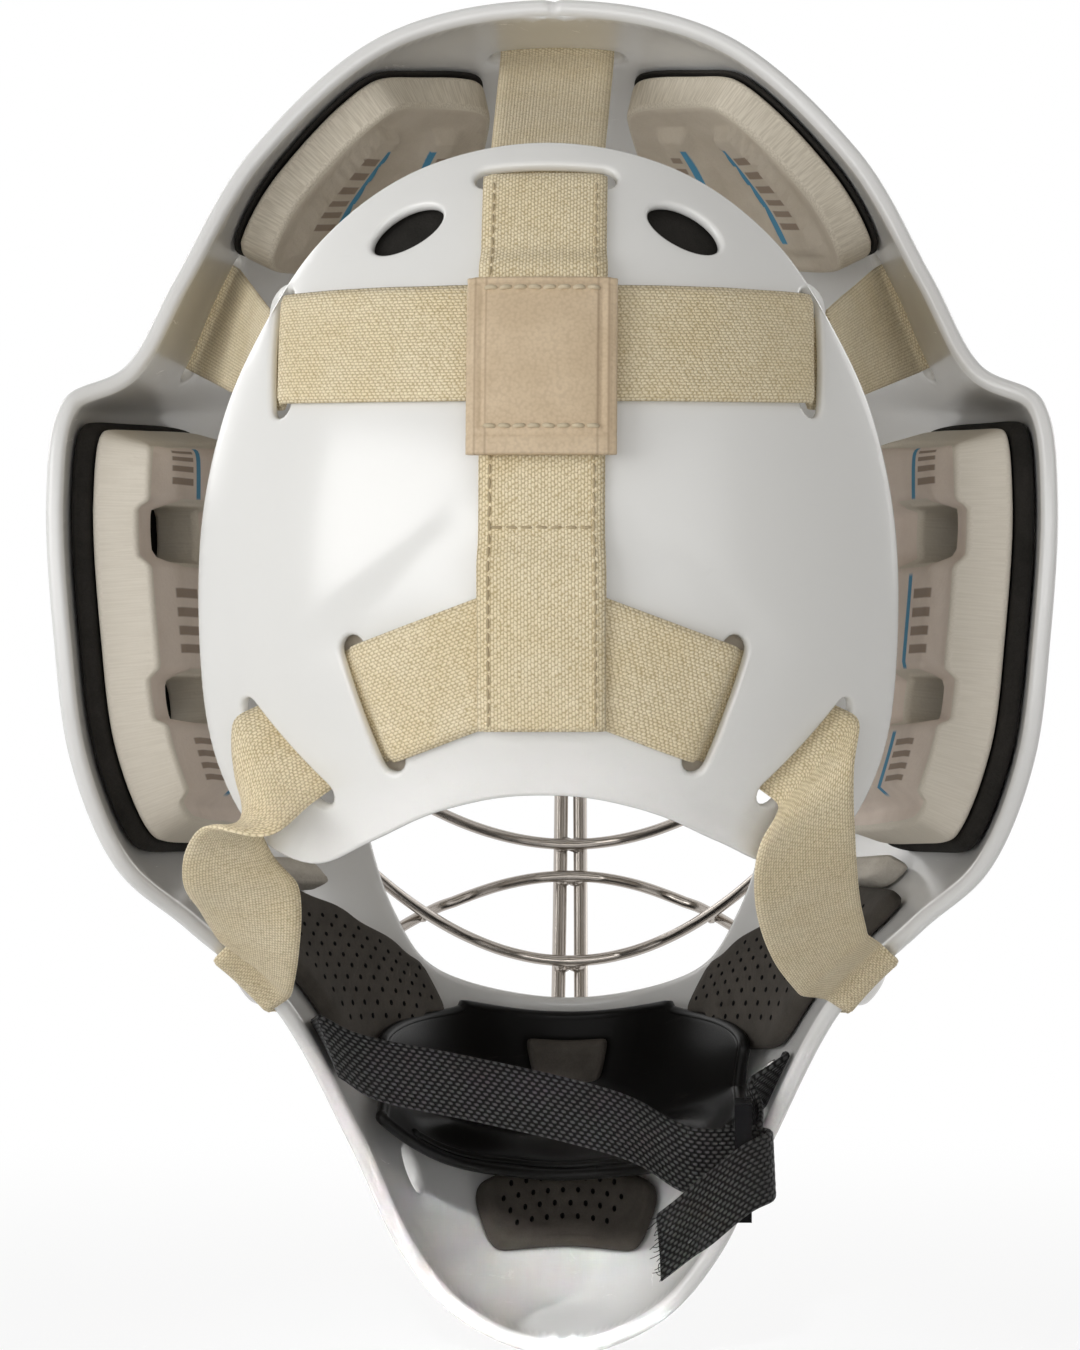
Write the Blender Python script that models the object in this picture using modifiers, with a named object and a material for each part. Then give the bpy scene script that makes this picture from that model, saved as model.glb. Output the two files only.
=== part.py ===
"""Ice hockey goalie mask: composite shell, wire cage, hinged back plate and elastic harness.

Frame: metres, +Z up, the wearer looks along +Y, +X is the wearer's right.
The origin is the middle of the wearer's head, between the ear canals.
"""
from math import cos, pi, radians, sin, sqrt

import bmesh
import bpy
import numpy as np
from mathutils import Matrix, Vector

MM = 0.001

# Clearances between pieces
TOUCH_GAP = 0.3 * MM
SEAT_GAP = 0.8 * MM

# Shell
SHELL_WALL = 4.5 * MM
SHELL_SPAN = 257 * MM
SHELL_FULLNESS = 0.56
# Each station: front of the shell (y, z), then the rear rim (x, y, z), in mm, crown to chin
SHELL_STATIONS_MM = (
    (-15, 161, 0, -15, 161),
    (22, 155, 44, -16, 152),
    (70, 134, 78, -20, 122),
    (101, 102, 97, -26, 89),
    (113, 76, 109, -32, 66),
    (117, 59, 125, -39, 56),
    (122, 32, 128.5, -43, 31),
    (125, -3, 126.5, -43, -5),
    (127, -36, 122.5, -40, -36),
    (129, -64, 112, -31, -63),
    (131, -84, 95, -12, -80),
    (135, -108, 73, 22, -103),
    (137, -136, 54, 44, -139),
    (126, -166, 39, 52, -169),
    (98, -188, 22, 56, -189),
    (57, -198, 0, 57, -198),
)
SHELL_COLUMNS = 20
SHELL_ROWS = 36

# Face opening: right half of its outline (x, z), in mm, brow to chin
FACE_OUTLINE_MM = (
    (0, 50), (38, 49), (60, 40), (69, 18), (66, -18), (58, -54), (50, -80), (36, -97), (0, -104.5),
)
FACE_OUTLINE_POINTS = 40
FACE_CUT_START = 60 * MM
FACE_CUT_END = 220 * MM

# Strap slots and vents of the shell: (side u, station v)
CROWN_SLOT_STATION = 1.02
TEMPLE_SLOT = (0.78, 3.3)
JAW_WRAP_STATION = 10.65
EAR_HOLE = (0.80, 7.75)
CHIN_VENT = (0.70, 12.4)
EAR_HOLE_RADIUS = 6.5 * MM
CHIN_VENT_LENGTH = 13 * MM
CHIN_VENT_WIDTH = 8 * MM
CUT_REACH = 4 * SHELL_WALL

# Cage
RIM_WIRE_RADIUS = 2.5 * MM
RIM_WIRE_LIFT = RIM_WIRE_RADIUS + SEAT_GAP
CROSS_WIRE_RADIUS = 1.6 * MM
UPRIGHT_RADIUS = 2.0 * MM
CAGE_MARGIN = 9 * MM
CAGE_FRONT = 154 * MM
CAGE_CENTER_HEIGHT = -27 * MM
UPRIGHT_SPACING = 8.5 * MM
SHORT_UPRIGHT_OFFSET = 34 * MM
# Cross bars: height on the centre line, rise at the given half span, in mm
CROSS_BARS_MM = {
    "cage_brow_arch": (37, -30, 62),
    "cage_eye_bar": (-27, 8, 60),
    "cage_mouth_bar": (-62, 13, 43),
    "cage_chin_bar": (-95, 14, 40),
}
CHIN_ARCH_MM = (-71, -10, 39)
CHIN_ARCH_EASE = 9 * MM
ARCH_EASE_START = 1.5
WIRE_SIDES_RESOLUTION = 1
CLIP_LENGTH = 9 * MM
CLIP_EAR = 11 * MM
CLIP_SHEET = 1.5 * MM
CLIP_EASE = 0.5 * MM
CLIP_SCREW_REACH = RIM_WIRE_RADIUS + CLIP_EASE + CLIP_SHEET + CLIP_EAR / 2
SCREW_HEAD_RADIUS = 3.8 * MM
SCREW_HEAD_HEIGHT = 2.2 * MM
SCREW_SHANK_RADIUS = 2.0 * MM
CLIP_PLACES_MM = {"upper": 20, "lower": -41}

# Back plate: an ellipsoid around the back of the head
PLATE_CENTER = Vector((0, -8, 15)) * MM
PLATE_RADII = Vector((104, 110, 133)) * MM
PLATE_WALL = 3.2 * MM
PLATE_LIP = 1.8 * MM
PLATE_LIP_SHARE = 0.93
PLATE_LIP_TOP = 20 * MM
PLATE_LIP_FOOT = -40 * MM
PLATE_HUB_HEIGHT = 30 * MM
# Right half of the plate's outline (x, z), in mm, top to the middle of the nape arch
PLATE_OUTLINE_MM = (
    (0, 119), (32, 112.5), (57, 94.5), (74, 68), (83, 45), (87.5, 18), (86.5, -12),
    (82, -35), (72, -53), (57, -60), (42, -54), (28, -47.5), (13, -43.5), (0, -42.5),
)
PLATE_SECTORS = 44
PLATE_RINGS = 7
PLATE_VENT_MM = (34.5, 96.5)
PLATE_VENT_LENGTH = 20 * MM
PLATE_VENT_WIDTH = 12 * MM
PLATE_VENT_SLOPE = radians(27)
PLATE_TOP_SLOT_INSET = 9 * MM
PLATE_TOP_SLOT_HEIGHT = PLATE_OUTLINE_MM[0][1] * MM - PLATE_TOP_SLOT_INSET
PLATE_SIDE_SLOT_MM = (66, 66.5)
PLATE_V_SLOT_MM = (42.5, -21)
PLATE_LATERAL_SLOT_MM = (65, -33)
PLATE_LATERAL_SLOT_RUN_MM = (17, 18.5)

# Harness elastic
STRAP_WIDTH = 30 * MM
STRAP_THICKNESS = 1.6 * MM
SLOT_WIDTH = 6.6 * MM
SLOT_SPARE = 6 * MM
STRAP_FOOT = -26 * MM
V_STRAP_MEETING_HEIGHT = -5 * MM
TAB_WIDTH = 34 * MM
TAB_HEIGHT = 41 * MM
TAB_THICKNESS = 2.2 * MM
TAB_DROP = 7.5 * MM
SNAP_RADIUS = 6.5 * MM
SNAP_HEIGHT = 3.2 * MM

# Pads: thicknesses, then places as (u low, u high), (v low, v high)
FOREHEAD_FOAM = 10 * MM
FOREHEAD_BACKING = 2.5 * MM
SIDE_FOAM = 24 * MM
SIDE_BACKING = 6.5 * MM
JAW_FOAM = 11 * MM
CHEEK_FOAM = 8 * MM
PLATE_FOAM = 9 * MM
CHIN_LINER_FOAM = 7 * MM
FOREHEAD_PLACE = ((0.22, 0.84), (1.2, 2.7))
SIDE_PLACE = ((0.62, 0.965), (5.35, 9.0))
JAW_PLACE = ((0.45, 0.845), (9.75, 11.15))
CHEEK_PLACE = ((0.50, 0.72), (9.15, 9.65))
CHIN_LINER_PLACE = ((-0.45, 0.45), (12.62, 13.5))
SIDE_CORNER = 0.05
# Pads of the back plate: middle (x, z) and half sizes, in mm
# Pads of the back plate: center, half size, and layers of strap between pad and plate
PLATE_PADS_MM = {"plate_pad_upper": ((0, 50), (42, 33), 0), "plate_pad_lower": ((0, -16), (50, 19), 1)}

# Chin cup and chin strap
CUP_SPACER = 7 * MM
CUP_WALL = 3 * MM
CUP_LEDGE = 26 * MM
CUP_DROP = 16 * MM
CUP_PAD = 4 * MM
CUP_TOP = 11.0
CUP_FOOT = 12.05
CUP_HALF_TOP = 0.34
CUP_HALF_FOOT = 0.75
CUP_SPREAD = 1.5
CUP_RISE = 0.35
CUP_EDGE_SHARE = 0.3
CUP_WALL_SHARE = 0.55
CUP_SPACER_HALF = 0.26
CUP_PAD_PLACE = ((-0.11, 0.11), (11.3, 11.62))
ANCHOR_STATIONS = {"left": 11.35, "right": 11.6}
ANCHOR_INSET = 11 * MM
ANCHOR_LAP = 4.5 * MM
WEBBING_WIDTH = 18 * MM
WEBBING_THICKNESS = 1.6 * MM
SLIDER_HEIGHT = 31 * MM
SLIDER_DEPTH = 25 * MM
SLIDER_THICKNESS = 4.5 * MM
SLIDER_SLOT = 4.6 * MM
SLIDER_BAR = 3.6 * MM
SLIDER_PLACE = Vector((49, 17, -141.5)) * MM
# Chin strap from the left wall to the slider, and its loose tail from the slider, in mm
CHIN_STRAP_MM = ((-60, 17, -111.5), (-49, 14, -117), (-25, 15, -122), (2, 16, -128), (20, 18, -133.5))
STRAP_TAIL_MM = ((4.2, 0, 0), (7, -2.6, -0.3), (7, -8.5, -1), (1, -12.4, -3.5), (-7, -12, -10),
                 (-15, -10, -16.5), (-22, -9, -22))
RIVET_RADIUS = 5 * MM
RIVET_HEIGHT = 2.2 * MM

HEAD_CENTER = Vector((0, 10 * MM, 0))
SIDES = {"left": -1, "right": 1}

for old in list(bpy.data.objects):
    bpy.data.objects.remove(old, do_unlink=True)

mask = bpy.data.collections.new("goalie_mask")
cutters = bpy.data.collections.new("goalie_mask_cutters")
bpy.context.scene.collection.children.link(mask)
bpy.context.scene.collection.children.link(cutters)


# Materials

def make_material(name, color, roughness, metallic=0.0):
    material = bpy.data.materials.new(name)
    material.use_nodes = True
    shader = material.node_tree.nodes["Principled BSDF"]
    shader.inputs["Base Color"].default_value = (*color, 1)
    shader.inputs["Roughness"].default_value = roughness
    shader.inputs["Metallic"].default_value = metallic
    return material


GLOSS_WHITE = make_material("gloss_white_shell", (0.80, 0.80, 0.79), 0.12)
PLATE_WHITE = make_material("gloss_white_plate", (0.82, 0.82, 0.80), 0.10)
CREAM_ELASTIC = make_material("cream_elastic", (0.62, 0.54, 0.36), 0.85)
TAN_TAB = make_material("tan_tab", (0.61, 0.46, 0.29), 0.55)
BEIGE_FOAM = make_material("beige_foam", (0.66, 0.60, 0.51), 0.8)
CHARCOAL_FOAM = make_material("charcoal_foam", (0.05, 0.047, 0.043), 0.9)
DARK_LINER = make_material("dark_liner", (0.07, 0.062, 0.052), 0.8)
BLACK_MOULDING = make_material("black_moulding", (0.012, 0.011, 0.010), 0.35)
BLACK_WEBBING = make_material("black_webbing", (0.015, 0.015, 0.015), 0.75)
CAGE_STEEL = make_material("cage_steel", (0.42, 0.38, 0.34), 0.25, 1.0)
FASTENER_STEEL = make_material("fastener_steel", (0.55, 0.54, 0.52), 0.3, 1.0)


# Curves and surfaces

def catmull(rows, t):
    last = len(rows) - 1
    i = min(int(t), last - 1)
    f = t - i
    p1, p2 = rows[i], rows[i + 1]
    p0 = rows[i - 1] if i > 0 else 2 * p1 - p2
    p3 = rows[i + 2] if i + 2 <= last else 2 * p2 - p1
    linear = (p2 - p0) * f
    square = (2 * p0 - 5 * p1 + 4 * p2 - p3) * f * f
    cubic = (3 * p1 - p0 - 3 * p2 + p3) * f ** 3
    return 0.5 * (2 * p1 + linear + square + cubic)


def sample(rows, count):
    span = len(rows) - 1
    return [catmull(rows, span * k / (count - 1)) for k in range(count)]


def closed_outline(half, count):
    """A closed outline, symmetric in x, through the points of its right half."""
    left = [(-x, z) for x, z in half[-2:0:-1]]
    loop = np.array(list(half) + left, dtype=float) * MM
    size = len(loop)
    padded = np.concatenate([loop[-1:], loop, loop[:2]])
    return [catmull(padded, 1 + size * k / count) for k in range(count)]


def bezier(a, b, c, d, t):
    s = 1 - t
    return a * s ** 3 + 3 * b * s * s * t + 3 * c * s * t * t + d * t ** 3


def smooth(t):
    t = min(max(t, 0.0), 1.0)
    return t * t * (3 - 2 * t)


LAST_STATION = len(SHELL_STATIONS_MM) - 1


SPAN_SHARE = SHELL_SPAN / (2 * MM * max(station[2] for station in SHELL_STATIONS_MM))


def mirrored_end(end, near):
    """The station past a pole: the front line runs on and the rim returns on the other side."""
    return (2 * end[0] - near[0], 2 * end[1] - near[1], -near[2], near[3], near[4])


SHELL_STATIONS = np.array([
    mirrored_end(SHELL_STATIONS_MM[0], SHELL_STATIONS_MM[1]),
    *SHELL_STATIONS_MM,
    mirrored_end(SHELL_STATIONS_MM[-1], SHELL_STATIONS_MM[-2]),
], dtype=float) * MM * np.array((1, 1, SPAN_SHARE, 1, 1))


def shell_skin(u, v):
    """Outer surface: u runs from the left rim (-1) over the front (0) to the right rim (1)."""
    front_y, front_z, rim_x, rim_y, rim_z = catmull(SHELL_STATIONS, v + 1)
    side = -1 if u < 0 else 1
    t = abs(u)
    x = bezier(0, SHELL_FULLNESS * rim_x, rim_x, rim_x, t)
    y = bezier(front_y, front_y, rim_y + SHELL_FULLNESS * (front_y - rim_y), rim_y, t)
    z = bezier(front_z, front_z, rim_z, rim_z, t)
    return Vector((side * x, y, z))


def shell_normal(u, v):
    step = 1e-3
    across = shell_skin(u + step, v) - shell_skin(u - step, v)
    down = shell_skin(u, v + step) - shell_skin(u, v - step)
    normal = across.cross(down).normalized()
    outward = shell_skin(u, v) - HEAD_CENTER
    return normal if normal.dot(outward) > 0 else -normal


def shell_point(u, v, depth):
    """A point at the given depth below the shell's outer surface."""
    return shell_skin(u, v) - shell_normal(u, v) * depth


def plate_point(x, z, height):
    """A point over (x, z) at the given height off the back plate's outer surface."""
    radii = PLATE_RADII + Vector((height, height, height))
    fall = 1 - (x / radii.x) ** 2 - ((z - PLATE_CENTER.z) / radii.z) ** 2
    return Vector((x, PLATE_CENTER.y - radii.y * sqrt(max(fall, 0.0)), z))


def plate_at(x, z, height):
    """The plate's outer surface over (x, z), lifted square to it."""
    return plate_point(x, z, 0) + plate_normal(x, z) * height


def plate_normal(x, z):
    offset = plate_point(x, z, 0) - PLATE_CENTER
    return Vector([offset[k] / PLATE_RADII[k] ** 2 for k in range(3)]).normalized()


# Meshes and modifiers

def new_object(name, data, material=None, collection=mask):
    obj = bpy.data.objects.new(name, data)
    collection.objects.link(obj)
    if material:
        data.materials.append(material)
    return obj


def mesh_from(bm, name):
    mesh = bpy.data.meshes.new(name)
    bm.to_mesh(mesh)
    bm.free()
    return mesh


def sheet(name, rows, material, hub=None, cyclic=False):
    """An open surface over rows of points, facing away from the hub point."""
    bm = bmesh.new()
    grid = [[bm.verts.new(point) for point in row] for row in rows]
    width = len(rows[0])
    for upper, lower in zip(grid, grid[1:]):
        for k in range(width if cyclic else width - 1):
            m = (k + 1) % width
            bm.faces.new((upper[k], upper[m], lower[m], lower[k]))
    bmesh.ops.remove_doubles(bm, verts=bm.verts, dist=1e-5)
    bm.normal_update()
    if hub is not None:
        lean = sum(f.normal.dot(f.calc_center_median() - hub) * f.calc_area() for f in bm.faces)
        if lean < 0:
            bmesh.ops.reverse_faces(bm, faces=bm.faces)
    mesh = mesh_from(bm, name)
    mesh.shade_smooth()
    return new_object(name, mesh, material)


def thicken(obj, thickness, offset=-1.0, weights=None):
    """Solidify; weights (one per vertex) scale the thickness from place to place."""
    solid = obj.modifiers.new("wall", "SOLIDIFY")
    solid.thickness = thickness
    solid.offset = offset
    solid.use_even_offset = weights is None
    if weights:
        group = obj.vertex_groups.new(name="thickness")
        for index, weight in enumerate(weights):
            group.add([index], weight, "REPLACE")
        solid.vertex_group = group.name
        solid.thickness_vertex_group = 0.0
    return obj


def place(obj, point, along, normal):
    """Stand an object's local z on the normal, with its local x along the given direction."""
    z = normal.normalized()
    x = (along - z * along.dot(z)).normalized()
    y = z.cross(x)
    basis = Matrix((x, y, z)).transposed().to_4x4()
    obj.matrix_world = Matrix.Translation(point) @ basis
    return obj


def prism(name, outline, height, material=None, collection=mask):
    """A flat outline (x, y) raised to the height, centred on its own plane."""
    bm = bmesh.new()
    base = bm.faces.new([bm.verts.new((x, y, -height / 2)) for x, y in outline])
    top = bmesh.ops.extrude_face_region(bm, geom=[base])["geom"]
    lifted = [v for v in top if isinstance(v, bmesh.types.BMVert)]
    bmesh.ops.translate(bm, vec=(0, 0, height), verts=lifted)
    bmesh.ops.recalc_face_normals(bm, faces=bm.faces)
    return new_object(name, mesh_from(bm, name), material, collection)


def stadium(length, width, steps=6):
    """Outline of a slot with round ends."""
    r = width / 2
    reach = max(length / 2 - r, 0.0)
    turns = [-pi / 2 + pi * k / steps for k in range(steps + 1)]
    right = [(reach + r * cos(a), r * sin(a)) for a in turns]
    left = [(-x, -y) for x, y in right]
    return right + left


def oval(length, width, count=18):
    turns = [2 * pi * k / count for k in range(count)]
    return [(length / 2 * cos(a), width / 2 * sin(a)) for a in turns]


def cut(obj, cutter):
    cutter.hide_render = True
    cutter.display_type = "WIRE"
    tool = obj.modifiers.new("cut_" + cutter.name, "BOOLEAN")
    tool.operation = "DIFFERENCE"
    tool.solver = "EXACT"
    tool.object = cutter


def turned(name, profile, material, steps=16):
    """A turned piece: the profile (r, z) runs from the top of the axis to its foot."""
    mesh = bpy.data.meshes.new(name)
    edges = [(k, k + 1) for k in range(len(profile) - 1)]
    mesh.from_pydata([(r, 0, z) for r, z in profile], edges, [])
    obj = new_object(name, mesh, material)
    spin = obj.modifiers.new("turn", "SCREW")
    spin.steps = steps
    spin.render_steps = steps
    spin.use_merge_vertices = True
    spin.merge_threshold = 1e-5
    return obj


def wire(name, points, radius, closed=False):
    curve = bpy.data.curves.new(name, "CURVE")
    curve.dimensions = "3D"
    curve.bevel_depth = radius
    curve.bevel_resolution = WIRE_SIDES_RESOLUTION
    curve.use_fill_caps = True
    spline = curve.splines.new("POLY")
    spline.points.add(len(points) - 1)
    for slot, point in zip(spline.points, points):
        slot.co = (*point, 1)
    spline.use_cyclic_u = closed
    return new_object(name, curve, CAGE_STEEL)


# Shell

def build_shell():
    rows = []
    for i in range(SHELL_ROWS + 1):
        v = LAST_STATION * i / SHELL_ROWS
        us = [2 * k / SHELL_COLUMNS - 1 for k in range(SHELL_COLUMNS + 1)]
        rows.append([shell_skin(u, v) for u in us])
    shell = thicken(sheet("mask_shell", rows, GLOSS_WHITE, HEAD_CENTER), SHELL_WALL)
    outline = closed_outline(FACE_OUTLINE_MM, FACE_OUTLINE_POINTS)
    face = prism("face_cutter", outline, FACE_CUT_END - FACE_CUT_START, None, cutters)
    middle = Vector((0, (FACE_CUT_START + FACE_CUT_END) / 2, 0))
    cut(shell, place(face, middle, Vector((1, 0, 0)), Vector((0, -1, 0))))
    slot = stadium(STRAP_WIDTH + SLOT_SPARE, SLOT_WIDTH)
    wall_cut(shell, "crown_slot", slot, crown_slot_frame())
    ear_hole = oval(2 * EAR_HOLE_RADIUS, 2 * EAR_HOLE_RADIUS)
    chin_vent = oval(CHIN_VENT_LENGTH, CHIN_VENT_WIDTH)
    screw_hole = oval(2 * SCREW_SHANK_RADIUS + 2 * TOUCH_GAP, 2 * SCREW_SHANK_RADIUS + 2 * TOUCH_GAP, 12)
    for side, sign in SIDES.items():
        wall_cut(shell, f"temple_slot_{side}", slot, temple_slot_frame(sign))
        wall_cut(shell, f"ear_hole_{side}", ear_hole, shell_frame(sign * EAR_HOLE[0], EAR_HOLE[1]))
        wall_cut(shell, f"chin_vent_{side}", chin_vent, shell_frame(sign * CHIN_VENT[0], CHIN_VENT[1]))
        for level in CLIP_PLACES_MM:
            point, along, normal = clip_frame(level, sign)
            point += along.cross(normal) * CLIP_SCREW_REACH
            wall_cut(shell, f"screw_hole_{level}_{side}", screw_hole, (point, along, normal))


def wall_cut(shell, name, outline, frame):
    cutter = prism(name + "_cutter", outline, CUT_REACH, None, cutters)
    cut(shell, place(cutter, *frame))


def shell_frame(u, v):
    """Middle of the wall, direction down the shell and outward normal at (u, v)."""
    down = shell_skin(u, v + 0.05) - shell_skin(u, v - 0.05)
    return shell_point(u, v, SHELL_WALL / 2), down, shell_normal(u, v)


def crown_slot_frame():
    point, _, normal = shell_frame(0.0, CROWN_SLOT_STATION)
    return point, Vector((1, 0, 0)), normal


def temple_slot_frame(sign):
    return shell_frame(sign * TEMPLE_SLOT[0], TEMPLE_SLOT[1])


# Cage

def shell_front(x, z):
    """(u, v) of the shell's front wall seen at (x, z), by bisection."""
    low_v, high_v = 1.0, LAST_STATION - 1.0
    for _ in range(40):
        v = (low_v + high_v) / 2
        low_u, high_u = 0.0, 1.0
        for _ in range(40):
            u = (low_u + high_u) / 2
            if shell_skin(u, v).x < abs(x):
                low_u = u
            else:
                high_u = u
        if shell_skin(u, v).z > z:
            low_v = v
        else:
            high_v = v
    return (u if x >= 0 else -u), v


def rim_wire_loop():
    outline = closed_outline(FACE_OUTLINE_MM, FACE_OUTLINE_POINTS)
    loop = []
    for k, point in enumerate(outline):
        run = outline[(k + 1) % len(outline)] - outline[k - 1]
        run /= sqrt(run[0] ** 2 + run[1] ** 2)
        x = point[0] - run[1] * CAGE_MARGIN
        z = point[1] + run[0] * CAGE_MARGIN
        loop.append(shell_point(*shell_front(x, z), -RIM_WIRE_LIFT))
    return loop


RIM_LOOP = rim_wire_loop()
RIM_SIDES = list(zip(RIM_LOOP, RIM_LOOP[1:] + RIM_LOOP[:1]))
RIM_DENSE = [a.lerp(b, k / 8) for a, b in RIM_SIDES for k in range(8)]


def cage_point(x, z):
    """A point of the bowed cage over (x, z), in the layer of the cross bars."""
    hub_x, hub_z = 0.0, CAGE_CENTER_HEIGHT
    dx, dz = x - hub_x, z - hub_z
    best = None
    for a, b in RIM_SIDES:
        ex, ez = b.x - a.x, b.z - a.z
        cross = dx * ez - dz * ex
        if abs(cross) < 1e-12:
            continue
        ray = ((a.x - hub_x) * ez - (a.z - hub_z) * ex) / cross
        along = ((a.x - hub_x) * dz - (a.z - hub_z) * dx) / cross
        if ray > 0 and -1e-6 <= along <= 1 + 1e-6:
            best = (ray, a.y + (b.y - a.y) * along)
    if best is None:
        return Vector((x, CAGE_FRONT, z))
    share = min(1 / best[0], 1.0)
    return Vector((x, best[1] + (CAGE_FRONT - best[1]) * (1 - share ** 2), z))


def cage_normal(x, z):
    step = 1 * MM
    across = cage_point(x + step, z) - cage_point(x - step, z)
    up = cage_point(x, z + step) - cage_point(x, z - step)
    normal = up.cross(across).normalized()
    return normal if normal.y > 0 else -normal


def gap_to_rim(point):
    return min((point - p).length for p in RIM_DENSE)


def bar_height(shape, x):
    center, rise, span = (value * MM for value in shape)
    return center + rise * (x / span) ** 2


def bar_point(shape, x):
    """A point of a cross bar. The chin arch bends forward to pass over the chin bar."""
    z = bar_height(shape, x)
    point = cage_point(x, z)
    if shape is not CHIN_ARCH_MM:
        return point
    above = z - bar_height(CROSS_BARS_MM["cage_chin_bar"], x)
    lift = 2 * CROSS_WIRE_RADIUS + TOUCH_GAP
    return point + cage_normal(x, z) * lift * smooth(ARCH_EASE_START - above / CHIN_ARCH_EASE)


def half_span(shape):
    """Where a bar's end stops just short of the rim wire."""
    x = 0.0
    to_rim = RIM_WIRE_RADIUS + CROSS_WIRE_RADIUS + TOUCH_GAP
    while x < CAGE_FRONT:
        x += 0.1 * MM
        if gap_to_rim(bar_point(shape, x)) < to_rim:
            return x
    return x


def cross_bar(name, shape, points=19):
    """A bowed bar whose ends stop just short of the wire that carries them."""
    reach = half_span(shape)
    xs = [reach * (2 * k / (points - 1) - 1) for k in range(points)]
    return wire(name, [bar_point(shape, x) for x in xs], CROSS_WIRE_RADIUS)


def rim_height(x, upper):
    """Height of the rim wire over or under the cage's middle, at x."""
    side = [p for p in RIM_DENSE if (p.z > CAGE_CENTER_HEIGHT) == upper]
    return min(side, key=lambda p: abs(p.x - x)).z


def upright(name, x, top, bottom, points=18):
    lift = CROSS_WIRE_RADIUS + UPRIGHT_RADIUS + 2 * TOUCH_GAP
    extra = RIM_WIRE_RADIUS - CROSS_WIRE_RADIUS
    inset = 2 * RIM_WIRE_RADIUS
    route_points = []
    for k in range(points):
        z = top + (bottom - top) * k / (points - 1)
        near_rim = max(0.0, 1 - gap_to_rim(cage_point(x, z)) / (14 * MM))
        normal = cage_normal(x, min(max(z, rim_height(x, False) + inset), rim_height(x, True) - inset))
        route_points.append(cage_point(x, z) + normal * (lift + extra * smooth(near_rim)))
    return wire(name, route_points, UPRIGHT_RADIUS)


def build_cage():
    wire("cage_rim_wire", RIM_LOOP, RIM_WIRE_RADIUS, closed=True)
    for name, shape in CROSS_BARS_MM.items():
        cross_bar(name, shape)
    cross_bar("cage_chin_arch", CHIN_ARCH_MM)
    middle = UPRIGHT_SPACING / 2
    brow = bar_height(CROSS_BARS_MM["cage_brow_arch"], SHORT_UPRIGHT_OFFSET) - CROSS_WIRE_RADIUS
    for side, sign in SIDES.items():
        top, foot = rim_height(middle, True), rim_height(middle, False)
        upright(f"cage_center_upright_{side}", sign * middle, top, foot)
        short = SHORT_UPRIGHT_OFFSET
        upright(f"cage_short_upright_{side}", sign * short, rim_height(short, True), brow, 8)
        for level in CLIP_PLACES_MM:
            build_clip(level, side, sign)


def clip_frame(level, sign):
    """Where a clip bridges the rim wire: foot of the wire, wire direction, wall normal."""
    height = CLIP_PLACES_MM[level] * MM
    pairs = [pair for pair in RIM_SIDES if pair[0].x * sign > 0]
    start, end = min(pairs, key=lambda pair: abs((pair[0].z + pair[1].z) / 2 - height))
    middle = (start + end) / 2
    along = (end - start).normalized()
    normal = shell_normal(*shell_front(middle.x, middle.z))
    normal = (normal - along * along.dot(normal)).normalized()
    return middle - normal * RIM_WIRE_LIFT, along, normal


def clip_outline():
    """Saddle over the wire with an ear on the shell: (away from the opening, off the shell)."""
    inner = RIM_WIRE_RADIUS + CLIP_EASE
    outer = inner + CLIP_SHEET
    axis = RIM_WIRE_LIFT
    foot, top = SEAT_GAP, SEAT_GAP + CLIP_SHEET
    turns = [pi * k / 8 for k in range(9)]
    over = [(-outer * cos(a), axis + outer * sin(a)) for a in turns]
    under = [(inner * cos(a), axis + inner * sin(a)) for a in turns]
    ear = [(outer, top), (outer + CLIP_EAR, top), (outer + CLIP_EAR, foot), (inner, foot)]
    return over + ear + under


def build_clip(level, side, sign):
    point, along, normal = clip_frame(level, sign)
    out = along.cross(normal)
    clip = prism(f"cage_clip_{level}_{side}", clip_outline(), CLIP_LENGTH, FASTENER_STEEL)
    place(clip, point, out, -along)
    cut(clip, bpy.data.objects[f"screw_hole_{level}_{side}_cutter"])
    head_foot = SEAT_GAP + CLIP_SHEET + TOUCH_GAP
    head_top = head_foot + SCREW_HEAD_HEIGHT
    tip = -2 * SHELL_WALL
    profile = [(0, head_top), (0.7 * SCREW_HEAD_RADIUS, head_top),
               (SCREW_HEAD_RADIUS, head_foot + 0.5 * SCREW_HEAD_HEIGHT), (SCREW_HEAD_RADIUS, head_foot),
               (SCREW_SHANK_RADIUS, head_foot), (SCREW_SHANK_RADIUS, tip), (0, tip)]
    screw = turned(f"cage_screw_{level}_{side}", profile, FASTENER_STEEL)
    place(screw, point + out * CLIP_SCREW_REACH, along, normal)


# Back plate

PLATE_OUTLINE = closed_outline(PLATE_OUTLINE_MM, PLATE_SECTORS)


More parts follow.
